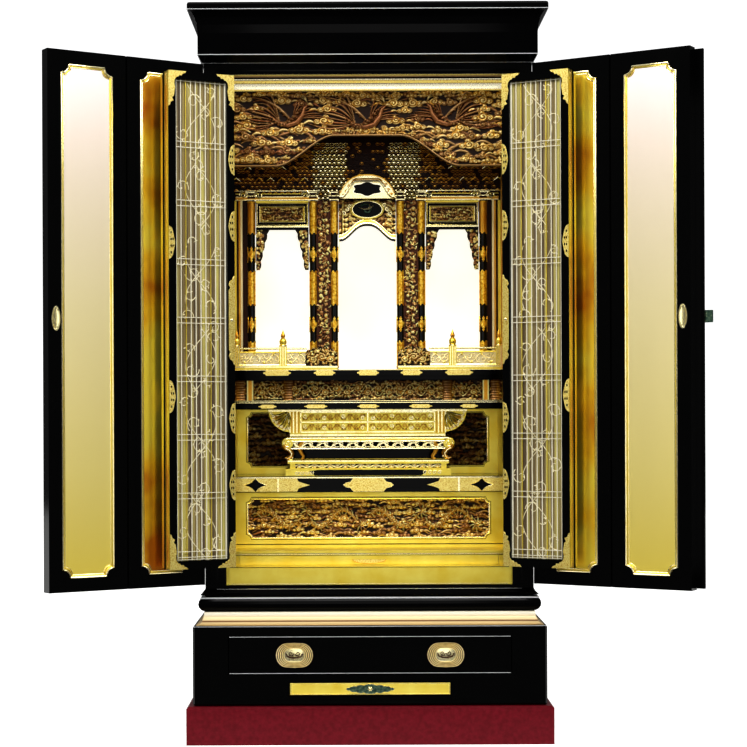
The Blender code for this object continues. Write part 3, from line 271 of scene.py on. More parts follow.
# Darker, orange leaf in blotches, on the leaves that the screens stand before: painted shade and painted
# reflection of the screens
SCREEN_SHADED_LEAF = mottled_material("screen_shaded_leaf", (0.7, 0.4, 0.04), 0.3, 0.85, (6.0, 3.0, (1.0, 1.0, 0.8)), (
    (0.34, (0.6, 0.2, 0.016)), (0.46, (0.92, 0.58, 0.04)), (0.58, (1.0, 0.86, 0.12))))
BRIGHT = leaf_material("bright_gold", (0.98, 0.85, 0.4), (1.0, 0.93, 0.62), 0.22)
CREAM = leaf_material("cream_gold", (0.88, 0.74, 0.38), (0.98, 0.86, 0.52), 0.36, 0.7, grain=0.0)
DEEP_GOLD = leaf_material("deep_gold", (0.62, 0.28, 0.03), (0.88, 0.5, 0.07), 0.33)
BROWN = lacquer_material("brown_lacquer", (0.034, 0.011, 0.005), 0.2, 0.34, 0.12)
THREAD = leaf_material("embroidery", (0.74, 0.66, 0.4), (0.9, 0.84, 0.6), 0.5, 0.15)
# Painted highlight: these two golds glow a little, with light of their own in place of the light they would
# catch.
GLOWING_GILT = leaf_material("glowing_gilt", (0.98, 0.9, 0.58), (1.0, 0.94, 0.7), 0.26, 0.75, glow=0.42)
LIT_GOLD = leaf_material("lit_gold", (0.93, 0.66, 0.14), (1.0, 0.78, 0.22), 0.3, 0.8, glow=0.25)
FITTING = fitting_material("fitting_gold", (1.0, 0.9, 0.42), (0.96, 0.78, 0.22), (0.7, 0.46, 0.08))
SLEEVE = fitting_material("sleeve_gold", (1.0, 0.76, 0.2), (0.95, 0.58, 0.05), (0.62, 0.27, 0.02), 200.0)
SLAT = leaf_material("screen_slats", (0.8, 0.76, 0.58), (0.94, 0.9, 0.74), 0.4, 0.1)
CARVED = carved_material()
SILK = silk_material()
RED = red_material()
# Dark green bronze, brighter where it is rubbed
BRONZE = mottled_material("green_bronze", (0.05, 0.1, 0.07), 0.36, 0.85, (160.0, 4.0), (
    (0.35, (0.02, 0.05, 0.04)), (0.6, (0.09, 0.15, 0.1)), (0.75, (0.3, 0.34, 0.2))), (0.3, 0.0008))
PALE = pale_material()
WOOD = mottled_material("plain_wood", (0.32, 0.2, 0.1), 0.6, 0.0, (30.0, 4.0, (0.15, 1.0, 1.0)), (
    (0.3, (0.2, 0.11, 0.05)), (0.7, (0.4, 0.26, 0.13))), (0.2, 0.0008))


# Shapes

class Shape:
    """Collects boxes, prisms, tubes and turned forms into one mesh."""

    def __init__(self, *materials):
        self.materials = materials
        self.points = []
        self.faces = []
        self.slots = []

    def add(self, points, faces, slot=0):
        start = len(self.points)
        self.points.extend(tuple(float(c) for c in p) for p in points)
        self.faces.extend(tuple(start + i for i in face) for face in faces)
        self.slots.extend([slot] * len(faces))

    def rings(self, rows, slot=0, closed=False, capped=True):
        """A skin through rings of equally many points."""
        count = len(rows[0])
        points = [p for row in rows for p in row]
        faces = []
        spans = len(rows) if closed else len(rows) - 1
        for r in range(spans):
            a, b = r * count, (r + 1) % len(rows) * count
            for i in range(count):
                j = (i + 1) % count
                faces.append((a + i, a + j, b + j, b + i))
        if capped and not closed:
            faces.append(tuple(reversed(range(count))))
            faces.append(tuple(range((len(rows) - 1) * count, len(rows) * count)))
        self.add(points, faces, slot)

    def box(self, low, high, slot=0):
        (x0, y0, z0), (x1, y1, z1) = low, high
        self.rings([[(x0, y0, z), (x1, y0, z), (x1, y1, z), (x0, y1, z)] for z in (z0, z1)], slot)

    def plate(self, outline, y, thick, slot=0, bevel=0.0):
        """An outline in X and Z, facing -Y at y, with an optional sloping edge."""
        outline = counter(outline)
        rows = [[(x, y, z) for x, z in shrink(outline, bevel)]]
        if bevel:
            rows.append([(x, y + bevel, z) for x, z in outline])
        rows.append([(x, y + thick, z) for x, z in outline])
        self.rings(rows[::-1], slot)

    def tube(self, path, radius, sides=8, slot=0, closed=False):
        """A round bar along a path in 3-D. radius may be one number or one for each point."""
        points = [Vector(p) for p in path]
        count = len(points)
        radii = radius if hasattr(radius, "__len__") else [radius] * count
        rows = []
        for i, point in enumerate(points):
            before = points[i - 1] if closed or i else points[i]
            after = points[(i + 1) % count] if closed or i < count - 1 else points[i]
            along = (after - before).normalized()
            across = along.cross(Vector((0, 1, 0)))
            if across.length < 0.1:
                across = Vector((1, 0, 0))
            across.normalize()
            out = across.cross(along).normalized()
            rows.append([
                point + across * (radii[i] * math.cos(a)) + out * (radii[i] * math.sin(a))
                for a in (math.tau * k / sides for k in range(sides))])
        self.rings(rows, slot, closed)

    def along(self, outline, y, radius, sides=8, slot=0, closed=False):
        """A tube along an outline in X and Z, at one depth."""
        self.tube([(x, y, z) for x, z in outline], radius, sides, slot, closed)

    def curl(self, outline, y, ends, sides, slot):
        """A spiral's bar, its radius going from one end's to the other's."""
        self.along(outline, y, np.linspace(*ends, len(outline)), sides, slot)

    def bar(self, x0, x1, y, z, radius, sides=8, slot=0):
        """A straight level tube."""
        self.tube([(x0, y, z), (x1, y, z)], radius, sides, slot)

    def frame(self, x0, x1, z0, z1, y, radius, sides, slot):
        """Four straight bars round a rectangle."""
        loop = [(x0, y, z0), (x1, y, z0), (x1, y, z1), (x0, y, z1)]
        for a, b in zip(loop, loop[1:] + loop[:1]):
            self.tube([a, b], radius, sides, slot)

    def turned(self, profile, x, y, sides=20, slot=0):
        """A form turned about an upright axis. profile is radius and height, upwards."""
        self.rings([[(x + r * math.cos(a), y + r * math.sin(a), z)
                     for a in (math.tau * k / sides for k in range(sides))] for r, z in profile], slot)

    def build(self, name, body, smooth=35.0, matrix=None, slot="gilt_wood", replaces=None):
        """Makes the mesh in metres and hangs it on a body."""
        mesh = bpy.data.meshes.new(name)
        mesh.from_pydata([tuple(c * MM for c in p) for p in self.points], [], self.faces)
        mesh.validate()
        for mat in self.materials:
            mesh.materials.append(mat)
        mesh.polygons.foreach_set("material_index", self.slots)
        finish_mesh(name, mesh, body, smooth, matrix, replaces)


def finish_mesh(name, mesh, body, smooth, matrix, replaces):
    """Smooths a mesh up to an angle, and hangs it on its body."""
    if matrix is not None:
        mesh.transform(matrix)
    mesh.shade_smooth()
    mesh.set_sharp_from_angle(angle=math.radians(smooth))
    made = bpy.data.objects.new(name, mesh)
    bpy.context.scene.collection.objects.link(made)
    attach(made, body)
    if replaces:
        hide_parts(replaces)


def counter(outline):
    """The outline, turned so that it runs counterclockwise seen from -Y."""
    area = sum(a[0] * b[1] - b[0] * a[1] for a, b in zip(outline, outline[1:] + outline[:1]))
    return list(outline) if area > 0 else list(reversed(outline))


def shrink(outline, margin):
    """A counterclockwise outline moved inwards by a small margin."""
    if not margin:
        return outline
    made = []
    count = len(outline)
    for i, (x, z) in enumerate(outline):
        (ax, az), (bx, bz) = outline[i - 1], outline[(i + 1) % count]
        ux, uz = x - ax, z - az
        vx, vz = bx - x, bz - z
        u, v = math.hypot(ux, uz) or 1.0, math.hypot(vx, vz) or 1.0
        nx, nz = -(uz / u + vz / v), ux / u + vx / v
        size = math.hypot(nx, nz) or 1.0
        made.append((x + nx / size * margin, z + nz / size * margin))
    return made


def notched(half_x, half_z, notch, centre):
    """A rectangle whose corners are hollowed by quarter circles."""
    points, steps = [], 8
    for sx, sz, first in ((1, 1, 270), (-1, 1, 0), (-1, -1, 90), (1, -1, 180)):
        for i in range(steps + 1):
            angle = math.radians(first - 90 * i / steps)
            points.append((centre[0] + sx * half_x + notch * math.cos(angle),
                           centre[1] + sz * half_z + notch * math.sin(angle)))
    return points


def oval(x, z, rx, rz, count=28):
    return [(x + rx * math.cos(math.tau * i / count), z + rz * math.sin(math.tau * i / count))
            for i in range(count)]


def spiral(x, z, start, radius, turns, hand=1, points=18, tail=0.12):
    """A curl that winds into its centre from an angle."""
    made = []
    for i in range(points):
        share = i / (points - 1)
        r = radius * (1 - (1 - tail) * share)
        a = start + hand * math.tau * turns * share
        made.append((x + r * math.cos(a), z + r * math.sin(a)))
    return made


# Carving over a grid of points

class Relief:
    """A carved face: heights forward of a plane, and a tone from brown to gold."""

    def __init__(self, x, z):
        self.x, self.z = x, z
        self.high = np.zeros_like(x)
        self.tone = np.zeros_like(x)

    @classmethod
    def over(cls, x0, x1, bottom, top, step, floor):
        """A grid between two edges, which are numbers or functions of x, all of it at one height."""
        columns = int(round((x1 - x0) / step))
        line = np.linspace(x0, x1, columns + 1)
        low = bottom(line) if callable(bottom) else np.full_like(line, bottom)
        up = top(line) if callable(top) else np.full_like(line, top)
        rows = int(round((up - low).max() / step))
        share = np.linspace(0, 1, rows + 1)[:, None]
        made = cls(np.repeat(line[None, :], rows + 1, 0), low + (up - low) * share)
        made.high += floor
        return made

    def raise_to(self, high, tone, part=(slice(None), slice(None))):
        """Lifts the points of a part that stand lower than a form."""
        above = high > self.high[part]
        self.high[part] = np.where(above, high, self.high[part])
        self.tone[part] = np.where(above, tone, self.tone[part])

    def part(self, low, high):
        """The columns between two places."""
        return (slice(None), slice(*np.searchsorted(self.x[0], (low, high))))

    def curl(self, x, z, radius, high, tone, hand=1, start=0.0, squeeze=0.8):
        """A boss with a spiral groove and a raised eye."""
        part = self.part(x - radius, x + radius)
        dx, dz = (self.x[part] - x) / radius, (self.z[part] - z) / (radius * squeeze)
        away = np.hypot(dx, dz)
        groove = 0.5 + 0.5 * np.cos(np.arctan2(dz, dx) * hand + start - 2.1 * math.tau * away)
        eye = np.clip(1 - (away / 0.24) ** 2, 0, 1)
        shape = np.sqrt(np.clip(1 - away ** 2, 0, 1)) * (0.62 + 0.34 * groove) + 0.3 * eye
        self.raise_to(high * shape * (away < 1), tone + 0.35 * eye, part)

    def strand(self, path, width, high, tone, ends=(0.25, 0.1)):
        """A rounded band along a path, narrowing to both ends."""
        points = np.array(path, float)
        reach = width + 1
        part = self.part(points[:, 0].min() - reach, points[:, 0].max() + reach)
        x, z = self.x[part], self.z[part]
        best = np.zeros_like(x)
        spans = len(points) - 1
        for i in range(spans):
            ax, az = points[i]
            ux, uz = points[i + 1] - points[i]
            length = ux * ux + uz * uz or 1.0
            t = np.clip(((x - ax) * ux + (z - az) * uz) / length, 0, 1)
            away = np.hypot(x - ax - t * ux, z - az - t * uz)
            share = (i + t) / spans
            swell = np.sin(math.pi * np.clip(share, 0, 1)) ** 0.6
            half = width * np.clip(np.maximum(swell, ends[0] * (1 - share) + ends[1] * share), 0.05, 1)
            best = np.maximum(best, np.clip(1 - (away / half) ** 2, 0, 1) ** 0.5
                              * (0.55 + 0.45 * half / width))
        self.raise_to(high * best, tone, part)

    def cloud(self, x, z, size, high, tone, hand, rng):
        """A drifting cloud: a large curl between smaller ones, with a trailing wisp."""
        self.curl(x, z, size, high, tone, hand, rng.uniform(0, 6))
        self.curl(x - 1.15 * size, z - 0.18 * size, 0.72 * size, 0.86 * high, tone - 0.1, hand, 2.0)
        self.curl(x + 1.15 * size, z - 0.14 * size, 0.76 * size, 0.86 * high, tone - 0.1, -hand, 1.0)
        self.curl(x + 0.3 * size * hand, z + 0.72 * size, 0.6 * size, 0.8 * high, tone, -hand, 4.0)
        wisp = [(x - hand * size * (1.6 + 2.2 * t), z + size * (0.35 * math.sin(4 * t) - 0.35))
                for t in np.linspace(0, 1, 7)]
        self.strand(wisp, 0.28 * size, 0.6 * high, tone - 0.15)

    def sky(self, left, right, bottom, top, pitch, high, rng, gold=0.65, keep=None):
        """Drifting clouds strewn over the face, none too near another, with wisps below them."""
        wisps = int((right - left) * (top - bottom) / (0.85 * pitch * pitch))
        for _ in range(wisps):
            x, z = rng.uniform(left, right), rng.uniform(bottom, top)
            hand, lean = rng.choice((-1, 1)), rng.uniform(-0.5, 0.5)
            path = [(x + hand * pitch * 2.4 * t, z + pitch * (lean * t + 0.3 * math.sin(4.5 * t + lean)))
                    for t in np.linspace(0, 1, 7)]
            if keep is None or all(keep(*point) for point in path[::3]):
                self.strand(path, 0.17 * pitch, high * rng.uniform(0.3, 0.5), rng.uniform(0.0, 0.45))
        placed = []
        for _ in range(40 * wisps):
            x, z = rng.uniform(left, right), rng.uniform(bottom, top)
            near = any(abs(x - a) < 1.5 * pitch and abs(z - b) < 0.72 * pitch for a, b in placed)
            if near or (keep and not keep(x, z)):
                continue
            placed.append((x, z))
            tone = rng.uniform(0.75, 1.0) if rng.random() < gold else rng.uniform(0.1, 0.35)
            self.cloud(x, z, pitch * rng.uniform(0.4, 0.62), high * rng.uniform(0.7, 1.0), tone,
                       rng.choice((-1, 1)), rng)

    def leaf(self, x, z, angle, length, width, high, tone):
        """A pointed leaf with a midrib, bending a little."""
        path = [(x + length * t * math.cos(angle + 0.5 * t), z + length * t * math.sin(angle + 0.5 * t))
                for t in np.linspace(0, 1, 6)]
        self.strand(path, width, high, tone)
        self.strand(path[:5], 0.22 * width, 1.18 * high, tone + 0.2)

    def vines(self, left, right, bottom, top, pitch, high, rng, gold=0.7):
        """A waving stem with curls and leaves in each bend."""
        middle, swing = (bottom + top) / 2, 0.3 * (top - bottom)
        count = max(2, int(round((right - left) / pitch)))
        step = (right - left) / count
        path = [(left + (right - left) * t, middle + swing * math.sin(math.pi * count * t))
                for t in np.linspace(0, 1, 10 * count)]
        for i in range(0, len(path) - 1, 6):
            self.strand(path[i:i + 8], 1.6, 0.7 * high, gold, (1, 1))
        for i in range(count):
            x = left + (i + 0.5) * step
            hand = 1 if i % 2 else -1
            z = middle + hand * 0.35 * swing
            size = 0.42 * min(step, top - bottom)
            self.curl(x, z, size, high, gold + rng.uniform(-0.2, 0.2), hand, rng.uniform(0, 6))
            for k in range(7):
                angle = math.tau * k / 7 + rng.uniform(-0.3, 0.3)
                self.leaf(x + size * 0.8 * math.cos(angle), z + size * 0.7 * math.sin(angle),
                          angle + 0.4 * hand, 0.75 * size, 0.24 * size, 0.8 * high,
                          gold + rng.uniform(-0.45, 0.15))

    def phoenix(self, x, z, hand, size, high):
        """A long-tailed bird in flight, its wings raised."""
        def at(u, v):
            return (x + hand * size * u, z + size * v)

        def bow(a, b, lift, points=9):
            made = []
            for t in np.linspace(0, 1, points):
                rise = lift * math.sin(math.pi * t)
                made.append(at(a[0] + (b[0] - a[0]) * t, a[1] + (b[1] - a[1]) * t + rise))
            return made
        for i in range(12):
            end = (-0.98 + 0.045 * i + 0.05 * (i % 3), -0.12 + 0.042 * i)
            self.strand(bow((-0.12, -0.08), end, -0.12 + 0.03 * i, 12), (0.013 + 0.006 * (i % 2)) * size,
                        (0.5 + 0.1 * (i % 3)) * high, 0.02 + 0.1 * (i % 3))
        for i in range(11):
            end = (-0.74 + 0.075 * i, 0.34 - 0.004 * i * i)
            self.strand(bow((0.08, -0.08), end, 0.12 - 0.008 * i, 11), (0.014 + 0.005 * (i % 2)) * size,
                        (0.56 + 0.1 * (i % 3)) * high, 0.03 + 0.1 * (i % 3))
        for i in range(8):
            self.strand(bow((0.1, -0.06), (0.2 + 0.08 * i, 0.32 - 0.055 * i), 0.05), 0.014 * size,
                        (0.5 + 0.1 * (i % 3)) * high, 0.04 + 0.08 * (i % 2))
        body = [at(-0.3, 0.02), at(-0.15, -0.1), at(0.02, -0.15), at(0.18, -0.1), at(0.27, 0.02),
                at(0.3, 0.14), at(0.37, 0.2)]
        self.strand(body, 0.05 * size, 0.86 * high, 0.05, (0.2, 0.35))
        for i in range(26):
            t = i / 25
            u, v = -0.3 + 0.58 * t, 0.02 - 0.17 * math.sin(math.pi * min(1, 1.15 * t)) + 0.1 * t * t
            girth = size * 0.034 * (0.6 + math.sin(math.pi * t))
            self.curl(*at(u, v + 0.014 * (-1) ** i), 0.75 * girth, high, 0.05 + 0.16 * (i % 3 == 0), 1,
                      i, 0.9)
        self.strand([at(0.35, 0.2), at(0.4, 0.215), at(0.46, 0.18)], 0.03 * size, high, 0.5)
        for i in range(3):
            self.strand([at(0.36, 0.23), at(0.32, 0.29 + 0.02 * i), at(0.24, 0.33 + 0.03 * i)],
                        0.012 * size, 0.8 * high, 0.7)

    def dragon(self, x, z, length, hand, high, rng):
        """A scaly body winding along, with a spiny back, claws and a flowing mane at its head."""
        def at(t):
            return (x + length * t, z + hand * 19 * math.sin(6.6 * t + 0.6))
        for t in np.linspace(0, 1, 34):
            u, w = at(t)
            girth = 7.4 * (0.55 + 0.45 * math.sin(math.pi * min(1, t + 0.15)))
            self.curl(u, w, girth, high * (0.86 + 0.14 * (int(t * 33) % 2)), 0.55, 1, 9 * t, 1.0)
            if int(t * 33) % 3 == 0:
                slope = math.atan2(hand * 19 * 6.6 / length * math.cos(6.6 * t + 0.6), 1)
                self.leaf(u, w, slope + math.pi / 2 + 0.5, 13, 1.7, 0.9 * high, 1.0)
                self.leaf(u, w, slope - math.pi / 2 - 0.5, 11, 1.5, 0.85 * high, 0.9)
        u, w = at(1.0)
        self.curl(u + 4, w + 2, 9, high * 1.05, 0.8, hand, 1.0, 0.9)
        for k in range(9):
            self.leaf(u, w, 0.7 * k - 2.6, 17, 1.7, 0.9 * high, rng.choice((0.2, 1.0)))

    def colours(self, most, brightness, hollow):
        """Tint of each point: painted shade, dark in the hollows and low on the ground, and painted
        highlight, pale gold on the crests.
        """
        soft, span = self.high.copy(), 3
        for axis in (0, 1):
            total = np.zeros_like(soft)
            for shift in range(-span, span + 1):
                total += np.roll(soft, shift, axis)
            soft = total / (2 * span + 1)
        crest = np.clip((self.high - soft) / (0.11 * most), -1, 1)
        level = np.clip(self.high / most, 0, 1)
        tone = np.clip(self.tone, 0, 1)[..., None]
        bright = np.clip(self.tone - 1, 0, 1)[..., None]
        dark = np.array((0.014, 0.006, 0.003))
        brown = np.array((0.13, 0.038, 0.012))
        brown_highlight = np.array((0.34, 0.13, 0.045))
        gold = np.array((0.72, 0.36, 0.03))
        gold_highlight = np.array((1.0, 0.88, 0.4))
        middle = brown + (gold - brown) * tone
        light = brown_highlight + (gold_highlight - brown_highlight) * tone
        middle = middle + (np.array((0.95, 0.74, 0.16)) - middle) * bright
        light = light + (np.array((1.0, 0.94, 0.6)) - light) * bright
        # Painted shade: the lower a point stands, the darker it is, down to near black on the ground.
        base = np.clip(3.4 * (level - 0.1), 0, 1)[..., None]
        colour = dark + (middle - dark) * base
        # Painted highlight on the crests, painted shade in the hollows
        up, down = np.clip(crest, 0, 1)[..., None], np.clip(-crest, 0, 1)[..., None]
        colour = colour + (light - colour) * up
        colour = colour + (dark - colour) * hollow * down
        return np.clip(colour * brightness, 0, 1)

    def build(self, name, body, y, back, most, slot="carved_gilt", replaces=None, brightness=1.0, hollow=0.8):
        """Makes the carving, closed behind by a flat back."""
        rows, columns = self.x.shape
        points = np.stack([self.x, y - np.clip(self.high, 0, most), self.z], -1).reshape(-1, 3)
        index = np.arange(rows * columns).reshape(rows, columns)
        quads = np.stack([index[:-1, :-1], index[:-1, 1:], index[1:, 1:], index[1:, :-1]], -1)
        faces = quads.reshape(-1, 4).tolist()
        rim = np.concatenate([index[0, :], index[1:, -1], index[-1, -2::-1], index[-2:0:-1, 0]])
        behind = points[rim].copy()
        behind[:, 1] = back
        start, count = len(points), len(rim)
        for i in range(count):
            j = (i + 1) % count
            faces.append((int(rim[j]), int(rim[i]), start + i, start + j))
        faces.append(tuple(start + i for i in reversed(range(count))))
        tint = np.ones((start + count, 4))
        tint[:start, :3] = self.colours(most, brightness, hollow).reshape(-1, 3)
        tint[start:, :3] = (0.05, 0.025, 0.01)
        mesh = bpy.data.meshes.new(name)
        mesh.from_pydata((np.concatenate([points, behind]) * MM).tolist(), [], faces)
        layer = mesh.color_attributes.new("Tint", "FLOAT_COLOR", "POINT")
        layer.data.foreach_set("color", tint.astype(np.float32).ravel())
        mesh.materials.append(CARVED)
        finish_mesh(name, mesh, body, 55.0, None, replaces)


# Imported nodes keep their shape: a finish and rounded arrises

def dress(names, mat, width):
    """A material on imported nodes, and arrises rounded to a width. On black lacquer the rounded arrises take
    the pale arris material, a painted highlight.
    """
    for name in names:
        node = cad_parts[name]
        node.data.materials.clear()
        node.data.materials.append(mat)
        if width:
            edge = node.modifiers.new("Arris", "BEVEL")
            # Painted highlight on the arrises of black lacquer
            if mat is LACQUER:
                node.data.materials.append(EDGE_HIGHLIGHT)
                edge.material = 1
            edge.width = width * MM
            edge.segments = 3
            edge.limit_method = "ANGLE"
            edge.angle_limit = math.radians(40)
            edge.harden_normals = True
        node.data.shade_smooth()
        node.data.set_sharp_from_angle(angle=math.radians(32))


def dress_nodes():
    dress(["plinth"], RED, 3.0)
    dress(["base_box", "side_left", "side_right", "back_board", "front_frame", "roof_board",
           "drawer"], LACQUER, 1.0)
    dress(["cornice", "foot_board", "dais_board_low", "dais_board_mid", "dais_board_top"],
          INNER_LACQUER, 0.8)
    leaves = [f"outer_leaf_{word}_{leaf}" for _, word in SIDES for leaf in ("hinged", "free")]
    frames = [f"screen_frame_{word}_{leaf}" for _, word in SIDES for leaf in ("hinged", "free")]
    dress([*leaves, *frames, "meeting_strip"], LACQUER, 1.4)
    dress([f"screen_{word}_{leaf}" for _, word in SIDES for leaf in ("hinged", "free")], SILK, 0)
    dress(["base_moulding"], MOULDING, 0.8)
    dress(["base_plaque", "lining_left", "lining_right", "gilt_sill", "offering_tray", "lower_step",
           "lower_panel", "dais_back_panel", "dais_waist", "table_stand"], LEAF, 0.6)
    dress(["canopy"], BROWN, 0)
    dress(["shrine_backboard"], PALE, 0)
    dress(["ceiling_board"], WOOD, 0)
    dress(["door_latch"], BRONZE, 1.5)


# Ranma and its lintel

def build_lintel():
    """Bands of the moulding over the transom, from the frame down: line, gold, dark, bright bead. The line,
    the gold and the bead glow a little, a painted highlight.
    """
    low, high = node_box("ranma_lintel")
    front, back = low.y, high.y
    shape = Shape(GLOWING_GILT, LACQUER, LIT_GOLD)

    def strip(profile, slot):
        shape.rings([[(x, y, z) for y, z in profile] for x in (high.x, low.x)], slot)

    def flat(z0, z1, out, slot):
        strip([(front - out, z0), (front - out, z1), (back, z1), (back, z0)], slot)
    flat(low.z + 24.6, high.z, -3.0, 1)
    flat(low.z + 22.9, low.z + 24.5, 1.0, 0)
    flat(low.z + 21.6, low.z + 22.8, -2.0, 1)
    flat(low.z + 15.6, low.z + 21.5, 0.0, 2)
    flat(low.z + 14.2, low.z + 15.5, -2.0, 1)
    middle, radius = low.z + 7.8, 6.2
    bead = [(front + 0.4 - 1.5 * math.sin(math.pi * i / 12) ** 0.5,
             middle - radius * math.cos(math.pi * i / 12))
            for i in range(13)]
    strip([*bead, (back, middle + radius), (back, middle - radius)], 0)
    flat(low.z, low.z + 1.4, -1.0, 2)
    shape.build("lintel_moulding", CABINET, replaces="ranma_lintel")


# The lower edge's rise, and the widths of its level ends and of half its level crown
RANMA_RISE, RANMA_END, RANMA_CROWN = 67.0, 100.0, 72.0


def build_ranma():
    """The carved transom: three long-tailed birds among clouds over an arched edge."""
    low, high = node_box("ranma")
    half, top = high.x, high.z

    def arch(x):
        share = np.clip((half - RANMA_END - np.abs(x)) / (half - RANMA_END - RANMA_CROWN), 0, 1)
        return low.z + RANMA_RISE * share * share * (3 - 2 * share)
    made = Relief.over(-half, half, arch, top, 1.25, 1.2)
    rng = np.random.default_rng(11)
    birds = ((-178, top - 56, 1, 128), (-10, top - 60, 1, 138), (178, top - 54, -1, 132))

    def free(x, z):
        if z < arch(np.array(x)) + 4:
            return False
        return all(abs(x - bx) > 0.5 * size or abs(z - bz) > 0.2 * size for bx, bz, _, size in birds)
    made.sky(-half, half, low.z + 2, top - 2, 22.0, 8.8, rng, 0.75, free)
    for x, z, hand, size in birds:
        made.phoenix(x, z, hand, size, 10.5)
    for x in np.linspace(-half + 12, half - 12, 22):
        tone = 0.95 if rng.random() < 0.8 else 0.4
        made.cloud(x, top - 9 + rng.uniform(-2, 2), rng.uniform(5, 7), 8.0, tone, rng.choice((-1, 1)), rng)
        base = float(arch(np.array(x)))
        made.cloud(x, base + 13 + rng.uniform(-2, 3), rng.uniform(5.5, 8), 9.0, 0.9,
                   rng.choice((-1, 1)), rng)
    line = np.linspace(-half, half, 90)
    for i in range(0, len(line) - 1, 3):
        piece = line[i:i + 5]
        made.strand(list(zip(piece, arch(piece) + 2.4)), 2.6, 7.5, 0.25, (1, 1))
    made.build("ranma_carving", CABINET, deep(70), high.y, 11.0, replaces="ranma")


# Brackets under the roof, gable, arch and transoms

def build_canopy_brackets():
    """Honeycomb bracketing under the eave, in five overhanging tiers."""
    low, high = node_box("canopy")
    rng = np.random.default_rng(5)
    shape = Shape(BRIGHT, BROWN, DEEP_GOLD)
    tiers, step = 5, 6.0
    tall = (high.z - low.z) / tiers
    pitch, rise = 10.4, tall / 3
    for tier in range(tiers):
        face = low.y + (tiers - 1 - tier) * step
        base = low.z + tier * tall
        shape.box((-high.x, face - 1.4, base + tall - 1.6), (high.x, face + 2, base + tall - 0.4), 1)
        for row in range(3):
            z = base + (row + 0.5) * rise
            x = -298.0 + 0.5 * pitch * ((row + tier) % 2)
            while x < 300:
                if 48 < abs(x) < 122:
                    slot = 0 if rng.random() < 0.92 else 2
                else:
                    slot = 2 if rng.random() < (0.3 if abs(x) < 48 else 0.75) else 1
                half, lift = 0.5 * pitch - 0.9, 0.36 * rise
                low_z, high_z = z - 0.3 * lift, z + 0.6 * lift
                cell = [(x, z - lift), (x + half, low_z), (x + half, high_z), (x, z + lift),
                        (x - half, high_z), (x - half, low_z)]
                shape.along(cell, face - 2.4, 0.62 if slot else 0.8, 4, slot, True)
                if slot != 1:
                    shape.box((x - 1.7, face - 3.4, z + 0.2 * lift), (x + 1.7, face, z + 1.1 * lift), slot)
                x += pitch
    shape.box((-high.x, low.y + 30, high.z + 0.3), (high.x, high.y - 1, high.z + 40), 1)
    for side, _ in SIDES:
        for level in range(4):
            z = low.z + 18 + 26 * level
            for x in range(142, 300, 26):
                lean = [(side * (x - 9), low.y + 14 - 5 * level, z),
                        (side * x, low.y + 10 - 5 * level, z + 7),
                        (side * (x + 9), low.y + 14 - 5 * level, z)]
                shape.tube(lean, [1.0, 2.0, 1.0], 6, 2 if (x // 26 + level) % 3 else 0)
    shape.build("eave_brackets", CABINET, 30, slot="dark_carving")


PILLARS = (264.5, 123.5, 75.5)
PILLAR_BACK = 225.0
PILLAR_FOOT, PILLAR_HEAD, PILLAR_RADIUS = 804.0, 1191.5, 8.2
SLEEVE_RADIUS = 9.2
WAIST_SLEEVE, FOOT_SLEEVE_TOP, HEAD_SLEEVE_LOW = (951, 1033), 872, 1114
LOZENGE_HEIGHTS = (1069, 909)
# Height above its middle and half width of a lozenge, upwards
LOZENGE = [(0, 6.4), (4, 6.0), (8.6, 4.4), (10.4, 1.0), (12, 4.0), (14, 3.0), (18, 0.3)]


# Height above the transom, thickness, overhang and material of each layer
BEAM_LAYERS = ((0.6, 2.0, 9, 0), (2.7, 4.6, 7, 3), (7.4, 1.5, 10, 0), (9.0, 5.2, 8, 2), (14.3, 1.4, 11, 1),
               (15.8, 5.0, 9, 2), (20.9, 1.3, 12, 0))
# Height above the transom, half width and material of each block
CAPITAL_LAYERS = ((0.5, 10.5, 0), (5.0, 9.0, 2), (9.0, 12.0, 0), (13.0, 10.0, 2), (17.0, 14.0, 0))


def build_beams():
    """Layered beams over the side bays, with a capital on each pillar and scrolls at their ends."""
    top = node_box("side_transom_left")[1].z
    y = deep(PILLAR_BACK)
    shape = Shape(BRIGHT, LEAF, BROWN, DEEP_GOLD)
    for side, _ in SIDES:
        near, far = sorted((side * 112.0, side * 300.0))
        for lift, tall, out, slot in BEAM_LAYERS:
            shape.box((near, y - out, top + lift), (far, y + 4, top + lift + tall), slot)
        for x in PILLARS:
            cx = side * x
            for lift, wide, slot in CAPITAL_LAYERS:
                shape.box((cx - wide, y - 13 - 0.2 * wide, top + lift),
                          (cx + wide, y + 2, top + lift + (1.6 if slot == 0 else 3.6)), slot)
            for lean in (-1, 1):
                shape.tube([(cx + lean * 5, y - 15, top + 10), (cx + lean * 9, y - 17, top + 14),
                            (cx + lean * 14, y - 17, top + 21)], [1.6, 2.0, 2.6], 8, 0)
        for x in range(152, 250, 14):
            cx = side * x
            foot = (y - 10, top + 15.5)
            shape.tube([(cx - 5.5, *foot), (cx, y - 13, top + 19), (cx + 5.5, *foot)], [0.9, 1.5, 0.9], 6, 3)
        for x, hand in ((284, 1), (246, -1), (142, 1)):
            shape.curl(spiral(side * x, top + 12, math.pi, 7.5, 1.3, hand * side, 20), y - 13,
                       (2.1, 1.0), 8, 0)
    shape.build("eave_beams", CABINET, 30)


